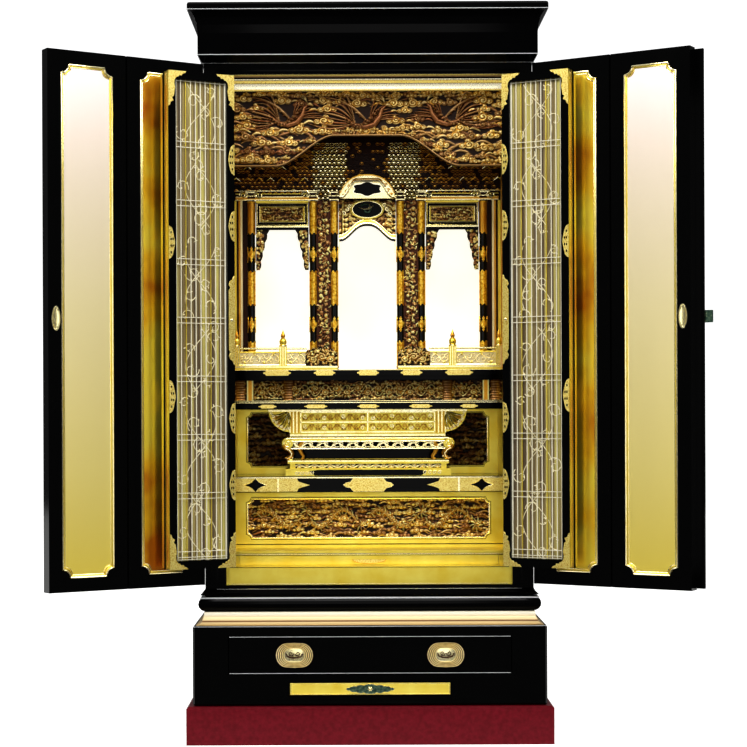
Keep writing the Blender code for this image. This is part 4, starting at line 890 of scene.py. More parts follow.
def build_gable():
    """A rounded gable: brown roof edge, gilt band and a dark lobed opening with scrolls. The opening is a
    black plate, painted shade, and its rim glows, a painted highlight.
    """
    low, high = node_box("gable")
    front, back = low.y, high.y
    half, base, rise = high.x, low.z, high.z - low.z
    xs = -half * np.cos(np.linspace(0, math.pi, 49))
    shape = Shape(BROWN, BRIGHT, DEEP_GOLD, INNER_LACQUER, GLOWING_GILT)

    def curve(x, drop):
        share = np.clip(np.abs(x) / (half - 0.5 * drop), 0, 1)
        return base + 10 + (rise - drop - 10) * (1 - share ** 2.5) ** 0.75

    def layer(outer, inner, y, slot):
        rows = []
        for x in xs:
            z0, z1 = float(curve(x, outer)), float(curve(x, inner))
            z1 = min(z1, z0 - 0.5)
            rows.append([(x, y, z0), (x, y, z1), (x, back, z1), (x, back, z0)])
        shape.rings(rows, slot)
    layer(0.0, 3.6, front, 2)
    layer(3.7, 5.0, front - 3.0, 1)
    shape.plate([(x, float(curve(x, 5.1))) for x in xs] + [(half - 3, base), (-half + 3, base)],
                front + 5, 5, 1)
    lobes = []
    for i in range(72):
        a = math.tau * i / 72
        lobe = 1 + 0.1 * math.cos(6 * a + math.pi)
        lobes.append((32 * math.cos(a) * lobe, base + 21 + 15.5 * math.sin(a) * lobe))
    # Painted shade: a black plate for the dark lobed opening, with a glowing rim, a painted highlight
    shape.plate(lobes, front + 4, 5, 3)
    shape.along(lobes, front + 3, 1.4, 6, 4, True)
    for widen, radius, out, slot in ((0.0, 2.6, 0.0, 1), (5.4, 1.5, -1.0, 2)):
        band = []
        for t in np.linspace(-1, 1, 61):
            share = np.clip((abs(t) - 0.42) / 0.5, 0, 1)
            level = (36 + widen) * (1 - share * share * (3 - 2 * share)) * math.sqrt(1 - 0.25 * t * t)
            band.append((t * (half + 1), front - out, base + 3 + level))
        shape.tube(band, radius, 8, slot)
    for side, _ in SIDES:
        for x, z, r in ((47, 17, 5.0), (41, 29, 4.4), (54, 8, 3.6)):
            shape.curl(spiral(side * x, base + z, 0.4, r, 1.2, side), front + 1.5, (1.3, 0.6), 6,
                       2 if x > 30 else 1)
    shape.build("gable_front", CABINET, 40, replaces="gable")


def build_arch():
    """Carving between the inner pillars over a gilt arch band, with a dark roundel in its head: a black plate
    standing for the shade in an opening.
    """
    low, high = node_box("centre_arch")
    half = high.x
    y = low.y
    top = high.z
    spring, crown = top - 92, top - 57

    def under(x):
        share = np.clip(np.abs(x) / (half - 4), 0, 1) ** 1.25
        return spring + (crown - spring) * 0.5 * (1 + np.cos(math.pi * share))
    made = Relief.over(-half, half, lambda x: under(x) + 1.0, top, 1.1, 0.6)
    rng = np.random.default_rng(23)
    made.sky(-half, half, spring + 4, top, 13, 5.2, rng, 0.75)
    for side, _ in SIDES:
        for z in np.linspace(spring + 8, top - 6, 8):
            made.leaf(side * (half - 8), z, math.pi / 2 + 0.6 * side, 13, 3, 5.4, 0.8)
            made.curl(side * (half - 16), z - 5, 6, 5.2, 0.9, side, z)
    made.build("arch_carving", CABINET, y + 3, high.y, 6.0, replaces="centre_arch", brightness=1.25)
    shape = Shape(BRIGHT, INNER_LACQUER, LEAF, BRONZE)
    across = np.linspace(-half + 1, half - 1, 41)
    bands = ((0.0, 1.8, 1.4, 1), (4.2, 3.4, 1.0, 0), (9.0, 2.4, 1.6, 2), (12.6, 1.4, 1.0, 0))
    for lift, radius, out, slot in bands:
        shape.tube([(x, y - out, float(under(x)) + lift) for x in across], radius, 8, slot)
    roundel = oval(0, top - 21, 34, 19, 40)
    # Painted shade: a black plate for the dark opening of the roundel
    shape.plate(roundel, y - 3.6, 4, 1, 0.8)
    shape.along(roundel, y - 3.8, 1.3, 6, 0, True)
    shape.tube([(x * 1.1, y - 3.0, top - 21 + (z - top + 21) * 1.14) for x, z in roundel], 1.0, 6, 2, True)
    shape.curl(spiral(-2, top - 22, 2.6, 15, 0.9, -1, 24, 0.2), y - 6, (3.0, 0.8), 8, 3)
    shape.tube([(-20, y - 5, top - 16), (-8, y - 8, top - 21), (4, y - 9, top - 20), (14, y - 8, top - 13)],
               [0.5, 1.6, 2.4, 0.5], 8, 0)
    shape.tube([(3, y - 9, top - 21), (7, y - 9, top - 15), (5, y - 8, top - 10)], [1.4, 1.2, 0.4], 8, 0)
    for side, _ in SIDES:
        x = side * (half - 1.8)
        shape.box((x - 1.6, y - 1, top - 120), (x + 1.6, y + 8, spring + 6), 0)
        for k in range(3):
            shape.curl(spiral(side * (39 + 7 * k), top - 12 - 9 * k, 0.5 + k, 5.2, 1.3, side, 16),
                       y - 2.4, (1.4, 0.7), 6, 0)
    shape.build("arch_band", CABINET, 40)


def build_transoms():
    """Framed carvings over the side bays, with a leafy bracket hanging by each pillar."""
    for side, word in SIDES:
        low, high = node_box(f"side_transom_{word}")
        y = low.y
        rng = np.random.default_rng(31 + side)
        near, far = low.x, high.x
        frame_low, frame_high = high.z - 56, high.z - 6
        made = Relief.over(near + 10, far - 10, frame_low + 8, frame_high - 8, 1.0, 0.9)
        made.sky(near + 12, far - 12, frame_low + 10, frame_high - 10, 8.0, 4.0, rng, 0.55)
        for _ in range(44):
            made.leaf(rng.uniform(near + 12, far - 12), rng.uniform(frame_low + 9, frame_high - 9),
                      rng.uniform(0, math.tau), 8.5, 1.6, 4.6, rng.choice((0.1, 0.6, 1.0)))
        made.build(f"transom_carving_{word}", CABINET, y + 3.5, y + 8, 6.0, replaces=f"side_transom_{word}",
                   brightness=1.2, hollow=0.6)
        shape = Shape(LEAF, BRIGHT, BROWN, INNER_LACQUER)
        shape.box((near, y + 6, high.z - 62), (far, y + 12, high.z), 2)
        for inset, radius, slot in ((2.4, 1.5, 1), (5.6, 1.4, 3), (8.6, 1.3, 1), (11.0, 0.8, 0)):
            shape.frame(near + inset, far - inset, frame_low + inset - 2, frame_high - inset + 2, y + 1,
                        radius, 8, slot)
        shape.box((near, y - 3, high.z - 61), (far, y + 6, high.z - 58.0), 1)
        shape.box((near, y - 1, high.z - 67), (far, y + 6, high.z - 61.2), 3)
        shape.box((near, y - 2, high.z - 4.5), (far, y + 6, high.z - 1), 0)
        shape.build(f"transom_frame_{word}", CABINET, 40)
        for end, hand in ((near, 1), (far, -1)):
            share = np.linspace(0, 1, 88)[:, None]
            across = np.linspace(0, 1, 27)[None, :]
            drop = 92.0
            scallop = np.abs(np.sin(14 * share)) * 2.6
            wide = 8 + 20 * share ** 1.4 + scallop
            z = high.z - 66 - drop * (1 - share) + 0 * across
            x = end + hand * wide * across
            if hand < 0:
                x, z = x[:, ::-1], z[:, ::-1]
            bracket = Relief(x, z)
            bracket.high += 0.5
            for k in range(46):
                level = rng.random()
                reach = 8 + 20 * level ** 1.4
                centre = (end + hand * reach * rng.uniform(0.1, 0.95), high.z - 66 - drop * (1 - level))
                stamp_curl(bracket, centre, rng.uniform(2.2, 3.2 + 2.6 * level), rng.uniform(3.4, 5.0),
                           rng.choice((0.1, 0.8, 1.0)), hand, k)
            ends = "inner" if (hand > 0) == (side > 0) else "outer"
            bracket.build(f"bracket_{word}_{ends}", CABINET, y + 4, y + 9, 5.5, brightness=1.3)


def stamp_curl(relief, centre, radius, high, tone, hand, start):
    """A curl on a grid whose columns aren't upright."""
    dx, dz = (relief.x - centre[0]) / radius, (relief.z - centre[1]) / radius
    away = np.hypot(dx, dz)
    groove = 0.5 + 0.5 * np.cos(np.arctan2(dz, dx) * hand + start - 2.1 * math.tau * away)
    relief.raise_to(high * np.sqrt(np.clip(1 - away ** 2, 0, 1)) * (0.6 + 0.4 * groove), tone)


# Pillars

def sleeve(shape, x, y, bottom, top, radius, slot, pointed_foot=True, pointed_head=True):
    """A gilt sleeve round a pillar, its ends cut into pointed petals."""
    sides, petals, tip = 36, 6, 5.0
    rows = []
    for share in (0.0, 0.5, 1.0):
        ring = []
        for k in range(sides):
            a = math.tau * k / sides
            wave = tip * abs(math.cos(petals * a / 2 + math.pi / 4)) ** 1.5
            z0 = bottom + wave * pointed_foot
            z1 = top - wave * pointed_head
            ring.append((x + radius * math.cos(a), y + radius * math.sin(a), z0 + (z1 - z0) * share))
        rows.append(ring)
    shape.rings(rows, slot, capped=False)
    inner = [[(x + (p[0] - x) * 0.94, y + (p[1] - y) * 0.94, p[2]) for p in row] for row in rows]
    shape.rings([rows[-1], inner[-1]], slot, capped=False)
    shape.rings([inner[0], rows[0]], slot, capped=False)


def pillar(shape, x, y, top_slot):
    """A black pillar with gilt sleeves at its head, waist and foot, and lozenges between them."""
    foot, head, out = PILLAR_FOOT, PILLAR_HEAD, SLEEVE_RADIUS
    shape.turned([(PILLAR_RADIUS, foot), (PILLAR_RADIUS, head)], x, y, 32, 0)
    for z in (foot, foot + 6, head - 5):
        shape.turned([(out, z), (10.4, z + 1.2), (10.4, z + 3), (out, z + 4)], x, y, 32, 1)
    sleeve(shape, x, y, foot + 6, FOOT_SLEEVE_TOP, out, 1, pointed_foot=False)
    sleeve(shape, x, y, *WAIST_SLEEVE, out, 1)
    sleeve(shape, x, y, HEAD_SLEEVE_LOW, head - 4, out + 0.2, top_slot, pointed_head=False)
    for z in LOZENGE_HEIGHTS:
        for k in range(4):
            a = math.tau * (k + 1) / 4 - math.pi / 2
            rows = []
            for dz, wide in [(-dz, wide) for dz, wide in LOZENGE[:0:-1]] + LOZENGE:
                half = wide / 9.0
                section = ((8.1, -half), (9.4, -half * 0.8), (9.8, 0), (9.4, half * 0.8), (8.1, half))
                rows.append([(x + r * math.cos(a + t), y + r * math.sin(a + t), z + dz) for r, t in section])
            shape.rings(rows, 1)


def build_pillars():
    """Gilt-sleeved pillars, with a carved strip between those of each pair."""
    y = deep(PILLAR_BACK)
    for side, word in SIDES:
        shape = Shape(LACQUER, SLEEVE, DEEP_GOLD)
        pillar(shape, side * PILLARS[0], y, 2)
        shape.build(f"outer_pillar_{word}", CABINET, 40, slot="black_lacquer",
                    replaces=f"pillar_outer_{word}")
        shape = Shape(LACQUER, SLEEVE, DEEP_GOLD)
        for x in PILLARS[1:]:
            pillar(shape, side * x, y, 1)
        shape.build(f"pillar_pair_gilt_{word}", CABINET, 40, slot="black_lacquer",
                    replaces=f"pillar_pair_{word}")
        x0, x1 = sorted((side * (PILLARS[2] + 7), side * (PILLARS[1] - 7)))
        strip = Relief.over(x0, x1, PILLAR_FOOT, PILLAR_HEAD, 1.1, 1.4)
        rng = np.random.default_rng(41 + side)
        middle = (x0 + x1) / 2
        for i, z in enumerate(np.arange(PILLAR_FOOT + 4, PILLAR_HEAD - 1.5, 6.4)):
            hand = 1 if i % 2 else -1
            for _ in range(4):
                angle = rng.uniform(0, math.tau)
                strip.leaf(middle + rng.uniform(-12, 12), z + rng.uniform(-4, 4), angle, 9.0, 1.6, 4.4,
                           rng.choice((0.0, 0.3, 0.9)))
            strip.curl(middle + rng.uniform(3, 10) * hand, z, rng.uniform(3.4, 5.2), 5.5,
                       rng.choice((0.15, 0.9, 1.0)), hand, rng.uniform(0, 6), 1.0)
        strip.build(f"pillar_carving_{word}", CABINET, y - 3, y + 3, 6.5, brightness=1.3, hollow=0.6)


# Railings

LINING = 304.6               # half the clear width between the linings
# Distance from the middle, height above the board and size of the curls at the pillars' feet
FOOT_CURLS = ((84, 24, 11), (104, 30, 13), (124, 24, 11), (94, 42, 8), (116, 42, 8), (134, 36, 7),
              (76, 40, 6))


def build_railings():
    """Railings with vines and finialled posts, and a carving at each pair of pillars."""
    for side, word in SIDES:
        low, high = node_box(f"railing_{word}")
        front, back = low.y, high.y
        middle = (front + back) / 2
        base = low.z
        shape = Shape(LEAF, BRIGHT, DEEP_GOLD, CREAM)
        x_in, x_out = PILLARS[2] - 7.0, LINING - 0.9
        rail = base + 49
        a, b = sorted((side * x_in, side * x_out))
        shape.box((a, front - 12, base + 0.2), (b, back, base + 5), 0)
        shape.box((a, front - 7, base + 5.2), (b, back, base + 9), 1)
        a, b = sorted((side * 138.0, side * x_out))
        shape.box((a, back - 1.2, base + 9.2), (b, back, rail - 8), 3)
        shape.bar(a, b, middle, rail, 2.4, 10, 1)
        shape.bar(a, b, middle, rail - 8, 1.3, 8, 0)
        shape.bar(a, b, middle, base + 12, 1.4, 8, 1)
        for x, half in ((192.0, 8.5), (296.5, 6.6)):
            cx = side * x
            shape.box((cx - half, front, base + 9), (cx + half, back, base + 54), 0)
            for k in (-0.62, 0.0, 0.62):
                shape.box((cx + k * half - 1.0, front - 0.9, base + 10),
                          (cx + k * half + 1.0, front + 0.2, base + 53), 1)
            shape.turned([(half, base + 54), (half + 0.8, base + 55.5), (half, base + 57)], cx, middle,
                         20, 1)
            shape.turned([(0.72 * half, base + 57), (0.95 * half, base + 61), (0.98 * half, base + 66),
                          (0.7 * half, base + 71), (0.42 * half, base + 73)], cx, middle, 20, 0)
            shape.turned([(0.4 * half, base + 73), (0.62 * half, base + 76), (0.6 * half, base + 79),
                          (0.34 * half, base + 84), (0.1 * half, base + 90), (0.02 * half, base + 92)],
                         cx, middle, 20, 2)
        for left, right, turns in ((143, 183, 2), (201, 289, 4)):
            count = 24 * turns
            wave = [(side * (left + (right - left) * t), middle,
                     base + 27 + 9 * math.sin(math.pi * turns * t)) for t in np.linspace(0, 1, count)]
            shape.tube(wave, 1.5, 6, 1)
            for k in range(turns):
                x = left + (right - left) * (k + 0.5) / turns
                up = 1 if k % 2 == 0 else -1
                for lean in (-1, 1):
                    shape.curl(spiral(side * (x + lean * 5.5), base + 27 - up * 3, -up * 1.2, 6.2, 1.1,
                                      lean * side), middle, (1.5, 0.7), 6, 1)
                leaf = [(side * (x + 2 * math.sin(5 * t)), middle, base + 27 + up * (6 + 9 * t))
                        for t in np.linspace(0, 1, 6)]
                shape.tube(leaf, [0.6, 1.8, 2.2, 1.8, 1.1, 0.3], 6, 0)
        shape.build(f"railing_gilt_{word}", CABINET, 40, replaces=f"railing_{word}")
        x0, x1 = sorted((side * x_in, side * 141.0))
        rng = np.random.default_rng(51 + side)

        def crest(x):
            share = np.clip((np.abs(x) - 70) / 71, 0, 1)
            return base + 40 + 12 * np.sin(math.pi * share) ** 0.7 + 2.0 * np.sin(0.45 * x)
        made = Relief.over(x0, x1, base + 9, crest, 1.1, 0.5)
        for k, (x, z, size) in enumerate(FOOT_CURLS):
            made.curl(side * x, base + z, size, 7, 0.8 - 0.25 * (k % 2), 1 if k % 2 else -1, k)
            for j in range(7):
                angle = math.tau * j / 7 + 0.3 * k
                made.leaf(side * x + 0.8 * size * math.cos(angle), base + z + 0.8 * size * math.sin(angle),
                          angle + 0.3, 0.7 * size, 0.25 * size, 6, 0.55 + rng.uniform(-0.3, 0.4))
        made.build(f"pillar_foot_carving_{word}", CABINET, front + 1, back, 7.5, brightness=1.3)


# Dais boards, friezes and panels

def blank_panel(name, step, seed):
    """A plain carving over a node's front, with its random numbers and the node's corners."""
    low, high = node_box(name)
    made = Relief.over(low.x, high.x, low.z, high.z, step, 0.8)
    return made, np.random.default_rng(seed), low, high


def build_reliefs():
    """The frieze between the dais boards, the lower panel and the dark panel behind the table."""
    made, rng, low, high = blank_panel("frieze_carving", 1.15, 61)
    made.sky(low.x, high.x, low.z + 2, high.z - 2, 12, 6.0, rng, 0.6)
    made.vines(low.x + 4, high.x - 4, low.z + 2, high.z - 2, 24, 7.0, rng, 0.8)
    for x in (-290.0, -181.0, 181.0, 290.0):
        drum = np.clip(1 - ((made.x - x) / 12) ** 2, 0, 1) * (0.85 + 0.15 * np.cos(made.z * 1.1))
        made.raise_to(8.8 * drum ** 0.5 * (drum > 0), 0.2)
    for x in (-268.0, 268.0):
        made.raise_to((np.abs(made.x - x) < 7) * 8.5, 0.9)
    made.build("frieze_relief", CABINET, high.y - 8, high.y, 9.0, replaces="frieze_carving", brightness=1.3,
               hollow=0.65)

    made, rng, low, high = blank_panel("lower_carving", 1.2, 71)
    made.sky(low.x, high.x, low.z + 4, high.z - 4, 15, 7.5, rng, 0.7)
    middle = (low.z + high.z) / 2
    for x0, hand in ((-250.0, 1), (-128.0, -1), (8.0, 1), (132.0, -1)):
        made.dragon(x0, middle, 112, hand, 10.0, rng)
    made.build("lower_relief", CABINET, high.y - 6, high.y, 11.0, replaces="lower_carving", brightness=1.3,
               hollow=0.65)

    made, rng, low, high = blank_panel("dais_relief", 1.5, 81)
    made.sky(low.x, high.x, low.z + 4, high.z - 4, 16, 9, rng, 0.3)
    made.build("back_relief", CABINET, high.y - 6, high.y, 11.0, slot="dark_carving",
               replaces="dais_relief", brightness=0.85)


def pointed(x0, x1, z0, z1, tip):
    """A plate with ogee points at both ends."""
    middle = (z0 + z1) / 2
    half = (z1 - z0) / 2
    right = [(x1 - tip, z0), (x1 - 0.7 * tip, middle - 0.45 * half), (x1 - 0.25 * tip, middle - 0.3 * half),
             (x1, middle), (x1 - 0.25 * tip, middle + 0.3 * half), (x1 - 0.7 * tip, middle + 0.45 * half),
             (x1 - tip, z1)]
    left = [(x0 + x1 - x, z) for x, z in reversed(right)]
    return right + left


def build_board_fittings():
    """Gilt plates and lines on the front edges of the dais boards."""
    shape = Shape(FITTING, INNER_LACQUER, BRIGHT)
    low, high = node_box("dais_board_top")
    face, z0, z1 = low.y - 0.8, high.z - 12.6, high.z - 0.6
    for x, wide in ((0, 51), (98, 50), (-98, 50), (205, 64), (-205, 64)):
        shape.plate(pointed(x - wide / 2, x + wide / 2, z0, z1, 7), face, 0.8, 0, 0.3)
    shape.build("dais_top_fittings", CABINET, 30)

    shape = Shape(FITTING, INNER_LACQUER, BRIGHT)
    low, high = node_box("dais_board_mid")
    face = low.y - 0.8
    for x, wide in ((0, 50), (117, 53), (-117, 53), (225, 42), (-225, 42)):
        shape.plate(pointed(x - wide / 2, x + wide / 2, low.z + 2, high.z - 9, 8), face, 0.8, 0, 0.3)
    shape.box((low.x + 0.5, low.y - 0.7, high.z - 5.5), (high.x - 0.5, low.y, high.z - 4), 2)
    shape.build("dais_mid_fittings", CABINET, 30)

    shape = Shape(FITTING, INNER_LACQUER, BRIGHT)
    low, high = node_box("dais_board_low")
    z0, z1 = low.z + 1.5, high.z - 4.5
    middle = (z0 + z1) / 2
    face = low.y - 0.8
    for side, _ in SIDES:
        outline = [(304, z0), (304, z1), (160, z1), (157, middle + 8), (148, middle + 5), (131, middle),
                   (148, middle - 5), (157, middle - 8), (160, z0)]
        shape.plate([(side * x, z) for x, z in outline], face, 0.8, 0, 0.3)
        diamond = [(253.5 + sign * u, middle + sign * w) for sign in (1, -1) for u, w in
                   ((-25.5, 0), (-13.5, 4), (-7.5, 7), (0, 15), (7.5, 7), (13.5, 4))]
        shape.plate([(side * x, z) for x, z in diamond], face - 0.5, 0.5, 1)
        shape.tube([(side * x, face - 0.5, z) for x, z in diamond], 0.6, 5, 2, True)
        shape.box((side * 202.5 - 2, face - 1.4, z0), (side * 202.5 + 2, face, z1), 2)
    centre = pointed(-56, 56, z0, z1, 22)
    shape.plate(centre, face, 0.8, 0, 0.3)
    shape.along(centre, face - 0.2, 0.7, 5, 2, True)
    shape.box((low.x + 0.5, face, high.z - 4.2), (high.x - 0.5, low.y, high.z - 1.6), 2)
    shape.box((low.x + 0.5, face, low.z), (high.x - 0.5, low.y, low.z + 1.3), 1)
    shape.build("dais_low_fittings", CABINET, 30)


STEP_HALF = 303.0
GRIP_HALF, GRIP_TOP, GRIP_DROP = 36.5, 384.6, 8.8


def window_frame(name, half_x, z0, z1, notch, y, radius):
    """A gilt bead and a dark line round a panel's window."""
    shape = Shape(BRIGHT, LACQUER)
    centre = (0.0, (z0 + z1) / 2)
    outline = notched(half_x + 1.0, (z1 - z0) / 2 + 1.0, notch, centre)
    shape.along(outline, y, radius, 8, 0, True)
    outline = notched(half_x + 4.2, (z1 - z0) / 2 + 4.2, notch + 1, centre)
    shape.along(outline, y + 0.2, 0.8, 6, 1, True)
    shape.build(name, CABINET, 40)


def front_edge(name):
    """Height of the upper edge of a node's front face, and how far forward that face is."""
    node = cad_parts[name]
    points = [node.matrix_world @ corner.co for corner in node.data.vertices]
    y = min(point.y for point in points)
    return max(point.z for point in points if point.y < y + 0.1 * MM) / MM, y / MM


def build_panels():
    """Window beads, lines along the steps, and the offering board's grip."""
    low, high = node_box("lower_panel")
    window_frame("lower_window_bead", high.x - 33, low.z + 16, high.z - 16, 10, low.y, 1.8)
    low, high = node_box("dais_back_panel")
    window_frame("back_window_bead", high.x - 25, low.z + 20, high.z - 10, 10, low.y, 1.6)
    shape = Shape(INNER_LACQUER, LEAF, BRIGHT)
    panel = node_box("lower_panel")[0]
    shape.box((panel.x + 1, panel.y - 0.5, panel.z + 0.3), (-panel.x - 1, panel.y + 0.3, panel.z + 1.7), 0)
    for name, drop, slot in (("lower_step", 7.0, 2), ("lower_step", 9.4, 0), ("gilt_sill", 0.5, 0)):
        z, y = front_edge(name)
        shape.box((-STEP_HALF, y - 0.5, z - drop - 1.2), (STEP_HALF, y + 0.3, z - drop), slot)
    low, high = node_box("gilt_sill")
    shape.box((-300, low.y - 0.5, low.z + 1), (300, low.y + 0.3, low.z + 2.2), 2)
    for name in ("dais_board_top", "dais_board_mid"):
        z, y = front_edge(name)
        shape.bar(-STEP_HALF, STEP_HALF, y, z, 0.9, 6, 2)
    shape.build("step_lines", CABINET, 30)
    shape = Shape(FITTING, DEEP_GOLD)
    low, high = node_box("offering_tray")
    grip = [(GRIP_HALF * math.cos(a), GRIP_TOP - GRIP_DROP * math.sin(a))
            for a in np.linspace(0, math.pi, 25)]
    shape.plate(grip, low.y - 0.9, 0.9, 0)
    shape.along(grip, low.y - 0.9, 0.7, 6, 1)
    shape.build("tray_grip", "offering_board", 40)


def build_waist():
    """The latticed waist of the dais, with vines in its cells and a fan at each end."""
    low, high = node_box("dais_waist")
    y = low.y
    z0, z1 = high.z - 52, high.z - 6
    shape = Shape(LEAF, BRIGHT, DEEP_GOLD, INNER_LACQUER)
    for z in (z0, (z0 + z1) / 2, z1):
        shape.box((-156, y - 2.4, z - 1.2), (156, y, z + 1.2), 1)
    for x in (-155, 0, 155):
        shape.box((x - 1.2, y - 2.4, z0), (x + 1.2, y, z1), 1)
    for side, _ in SIDES:
        for k in range(6):
            x = side * (160 + 4 * k)
            shape.box((x - 1.2, y - 1.8, z0 - 2), (x + 1.2, y, z1 + 2), 1 if k % 2 else 2)
    shape.box((low.x, y - 3, high.z - 4.5), (high.x, y, high.z - 0.5), 1)
    shape.box((-180, y - 3, z0 - 10), (180, y, z0 - 5), 1)
    # Painted shade: a black sheet over the waist's lower part, where the table shades it
    shape.box((-179, y - 0.8, low.z + 36), (179, y, z0 - 10.2), 3)
    for side, _ in SIDES:
        for a, b in ((z0, (z0 + z1) / 2), ((z0 + z1) / 2, z1)):
            middle, swing = (a + b) / 2, 0.28 * (b - a)
            wave = [(side * (4 + 148 * t), y - 0.3, middle + swing * math.sin(math.tau * 5 * t))
                    for t in np.linspace(0, 1, 90)]
            shape.tube(wave, 1.2, 6, 2)
            for k in range(10):
                x, hand = side * (11.4 + 14.8 * k), 1 if k % 2 else -1
                shape.curl(spiral(x, middle + hand * 2.4, -0.8 * hand, 5.2, 1.4, hand * side, 18),
                           y - 0.6, (1.3, 0.7), 6, 2 if k % 3 else 1)
                for lean in (-1, 1):
                    leaf = [(x + lean * (2 + 3.5 * t), y - 0.4, middle - hand * (3 + 4 * t))
                            for t in (0, 0.5, 1)]
                    shape.tube(leaf, [0.6, 1.7, 0.4], 6, 1 if k % 2 else 2)
        hub_x, hub_z = 181, high.z - 5
        for k in range(8):
            angle = math.pi / 2 * (0.04 + 0.125 * k)
            reach = 47 - 3.5 * (k % 2)
            blade = []
            for t in np.linspace(0.06, 0.9, 9):
                bend = angle + 0.22 * math.sin(3.1 * t)
                blade.append((side * (hub_x + reach * t * math.cos(bend)), y - 0.8 - 2.4 * t,
                              hub_z - reach * t * math.sin(bend)))
            shape.tube(blade, [0.8, 1.4, 2.1, 2.6, 2.7, 2.4, 1.9, 1.2, 0.4], 8, 0 if k % 2 else 1)
            curl = spiral(side * (hub_x + 0.9 * reach * math.cos(angle)),
                          hub_z - 0.9 * reach * math.sin(angle), angle, 3.8, 1.2, side, 14)
            shape.tube([(u, y - 3.0, w) for u, w in curl if w < high.z - 4], 1.0, 6, 1)
            shape.tube([(x + side * 1.4, y + 0.2, z - 3.0) for x, _, z in blade], 1.6, 6, 2)
    shape.build("waist_lattice", CABINET, 30)


def build_table():
    """The offering table with rolled ends and scrolled apron, and its stand."""
    low, high = node_box("offering_table")
    near, far = low.y, high.y
    half = high.x
    top = high.z
    roll = 12.5
    shape = Shape(LEAF, BRIGHT, DEEP_GOLD, INNER_LACQUER)
    shape.box((-half + roll, near, top - 8.5), (half - roll, far, top), 0)
    for side, _ in SIDES:
        hub_x, hub_z = side * (half - roll), top - roll
        drum = [(hub_x + roll * math.cos(a), hub_z + roll * math.sin(a))
                for a in (math.tau * i / 28 for i in range(28))]
        for reach, y0, y1 in ((1.0, far, near), (0.82, near, near - 1.2)):
            shape.rings([[(hub_x + (x - hub_x) * reach, y, hub_z + (z - top + roll) * reach)
                          for x, z in drum] for y in (y0, y1)], 0)
    for drop in (1.6, 8.2):
        shape.bar(-half + 10, half - 10, near + 0.2, top - drop, 1.2, 8, 1)
    shape.bar(-half + 20, half - 20, near + 0.8, top - 25.0, 1.1, 8, 1)
    for side, _ in SIDES:
        for y in (near - 0.8, far + 0.2):
            curl = spiral(side * (half - roll), top - roll, math.pi / 2, roll - 2, 1.4, -side, 26)
            shape.curl(curl, y, (1.8, 0.9), 8, 1)
        for y in (near + 4, far - 4):
            bracket = [(side * (half - dx), y, top - dz) for dx, dz in
                       ((4, 16), (9, 24), (17, 29), (22, 36), (20, 43), (12, 47.5), (6, 46))]
            shape.tube(bracket, [7.5, 6.5, 5, 4.2, 4.4, 3.6, 1.6], 10, 2)
            shape.tube([(x, y - 4.6, z) for x, _, z in bracket], [2.2, 2, 1.6, 1.4, 1.4, 1.2, 0.6], 6, 1)
        for y in (near + 6, far - 6):
            leg = [(side * (half - 46 + dx), y, top - dz) for dx, dz in
                   ((0, 9), (5, 18), (7, 27), (3, 36), (-2, 43), (1, 49.5))]
            shape.tube(leg, [5, 5.2, 4.2, 3.0, 2.6, 3.8], 10, 2)
        shape.curl(spiral(side * (half - 20), top - 45, math.pi, 6, 1.2, -side, 16), near + 5,
                   (2.2, 1.0), 8, 1)
    edge = half - 24
    lobes = 10
    wave = [(edge * (2 * t - 1), near + 2.5, top - 17 + 4.4 * math.cos(math.tau * lobes * t))
            for t in np.linspace(0, 1, 24 * lobes)]
    shape.tube(wave, 1.5, 6, 1)
    for drop, lift in ((-5.5, 1.0), (6.5, -1.0)):
        shape.tube([(x, y, top - 17 + drop + 0.35 * (z - top + 17) * lift) for x, y, z in wave], 1.0, 6, 1)
    for k in range(2 * lobes):
        x = edge * (2 * (k + 0.5) / (2 * lobes) - 1)
        hand = 1 if k % 2 else -1
        shape.curl(spiral(x, top - 17 - 2.4 * hand, 0.8 * hand, 5.6, 1.3, hand, 16), near + 2,
                   (1.6, 0.8), 6, 1)
    shape.build("offering_table_gilt", CABINET, 40, replaces="offering_table")

    low, high = node_box("table_stand")
    rng = np.random.default_rng(97)
    made = Relief.over(-half + 30, half - 30, low.z + 17, low.z + 26.5, 1.1, 0.3)
    made.vines(-half + 30, half - 30, low.z + 16, low.z + 27, 17, 2, rng, 1.0)
    made.build("stand_vines", CABINET, low.y + 9.6, low.y + 10.4, 2.2, brightness=1.7)
    shape = Shape(BRIGHT, INNER_LACQUER, LEAF)
    shape.box((-high.x + 5, low.y + 4.2, high.z - 3), (high.x - 5, low.y + 5.2, high.z - 0.4), 0)
    outline = [(-120, low.z + 0.5), (120, low.z + 0.5), (134, low.z + 11), (110, low.z + 13.5),
               (-110, low.z + 13.5), (-134, low.z + 11)]
    shape.plate(outline, low.y - 0.8, 0.9, 1)
    for side, _ in SIDES:
        for k in range(4):
            shape.curl(spiral(side * (128 + 11 * k), low.z + 7, 0.6, 5, 1.3, side, 14), low.y - 0.4,
                       (1.3, 0.7), 6, 0)
    shape.build("stand_trim", CABINET, 40)


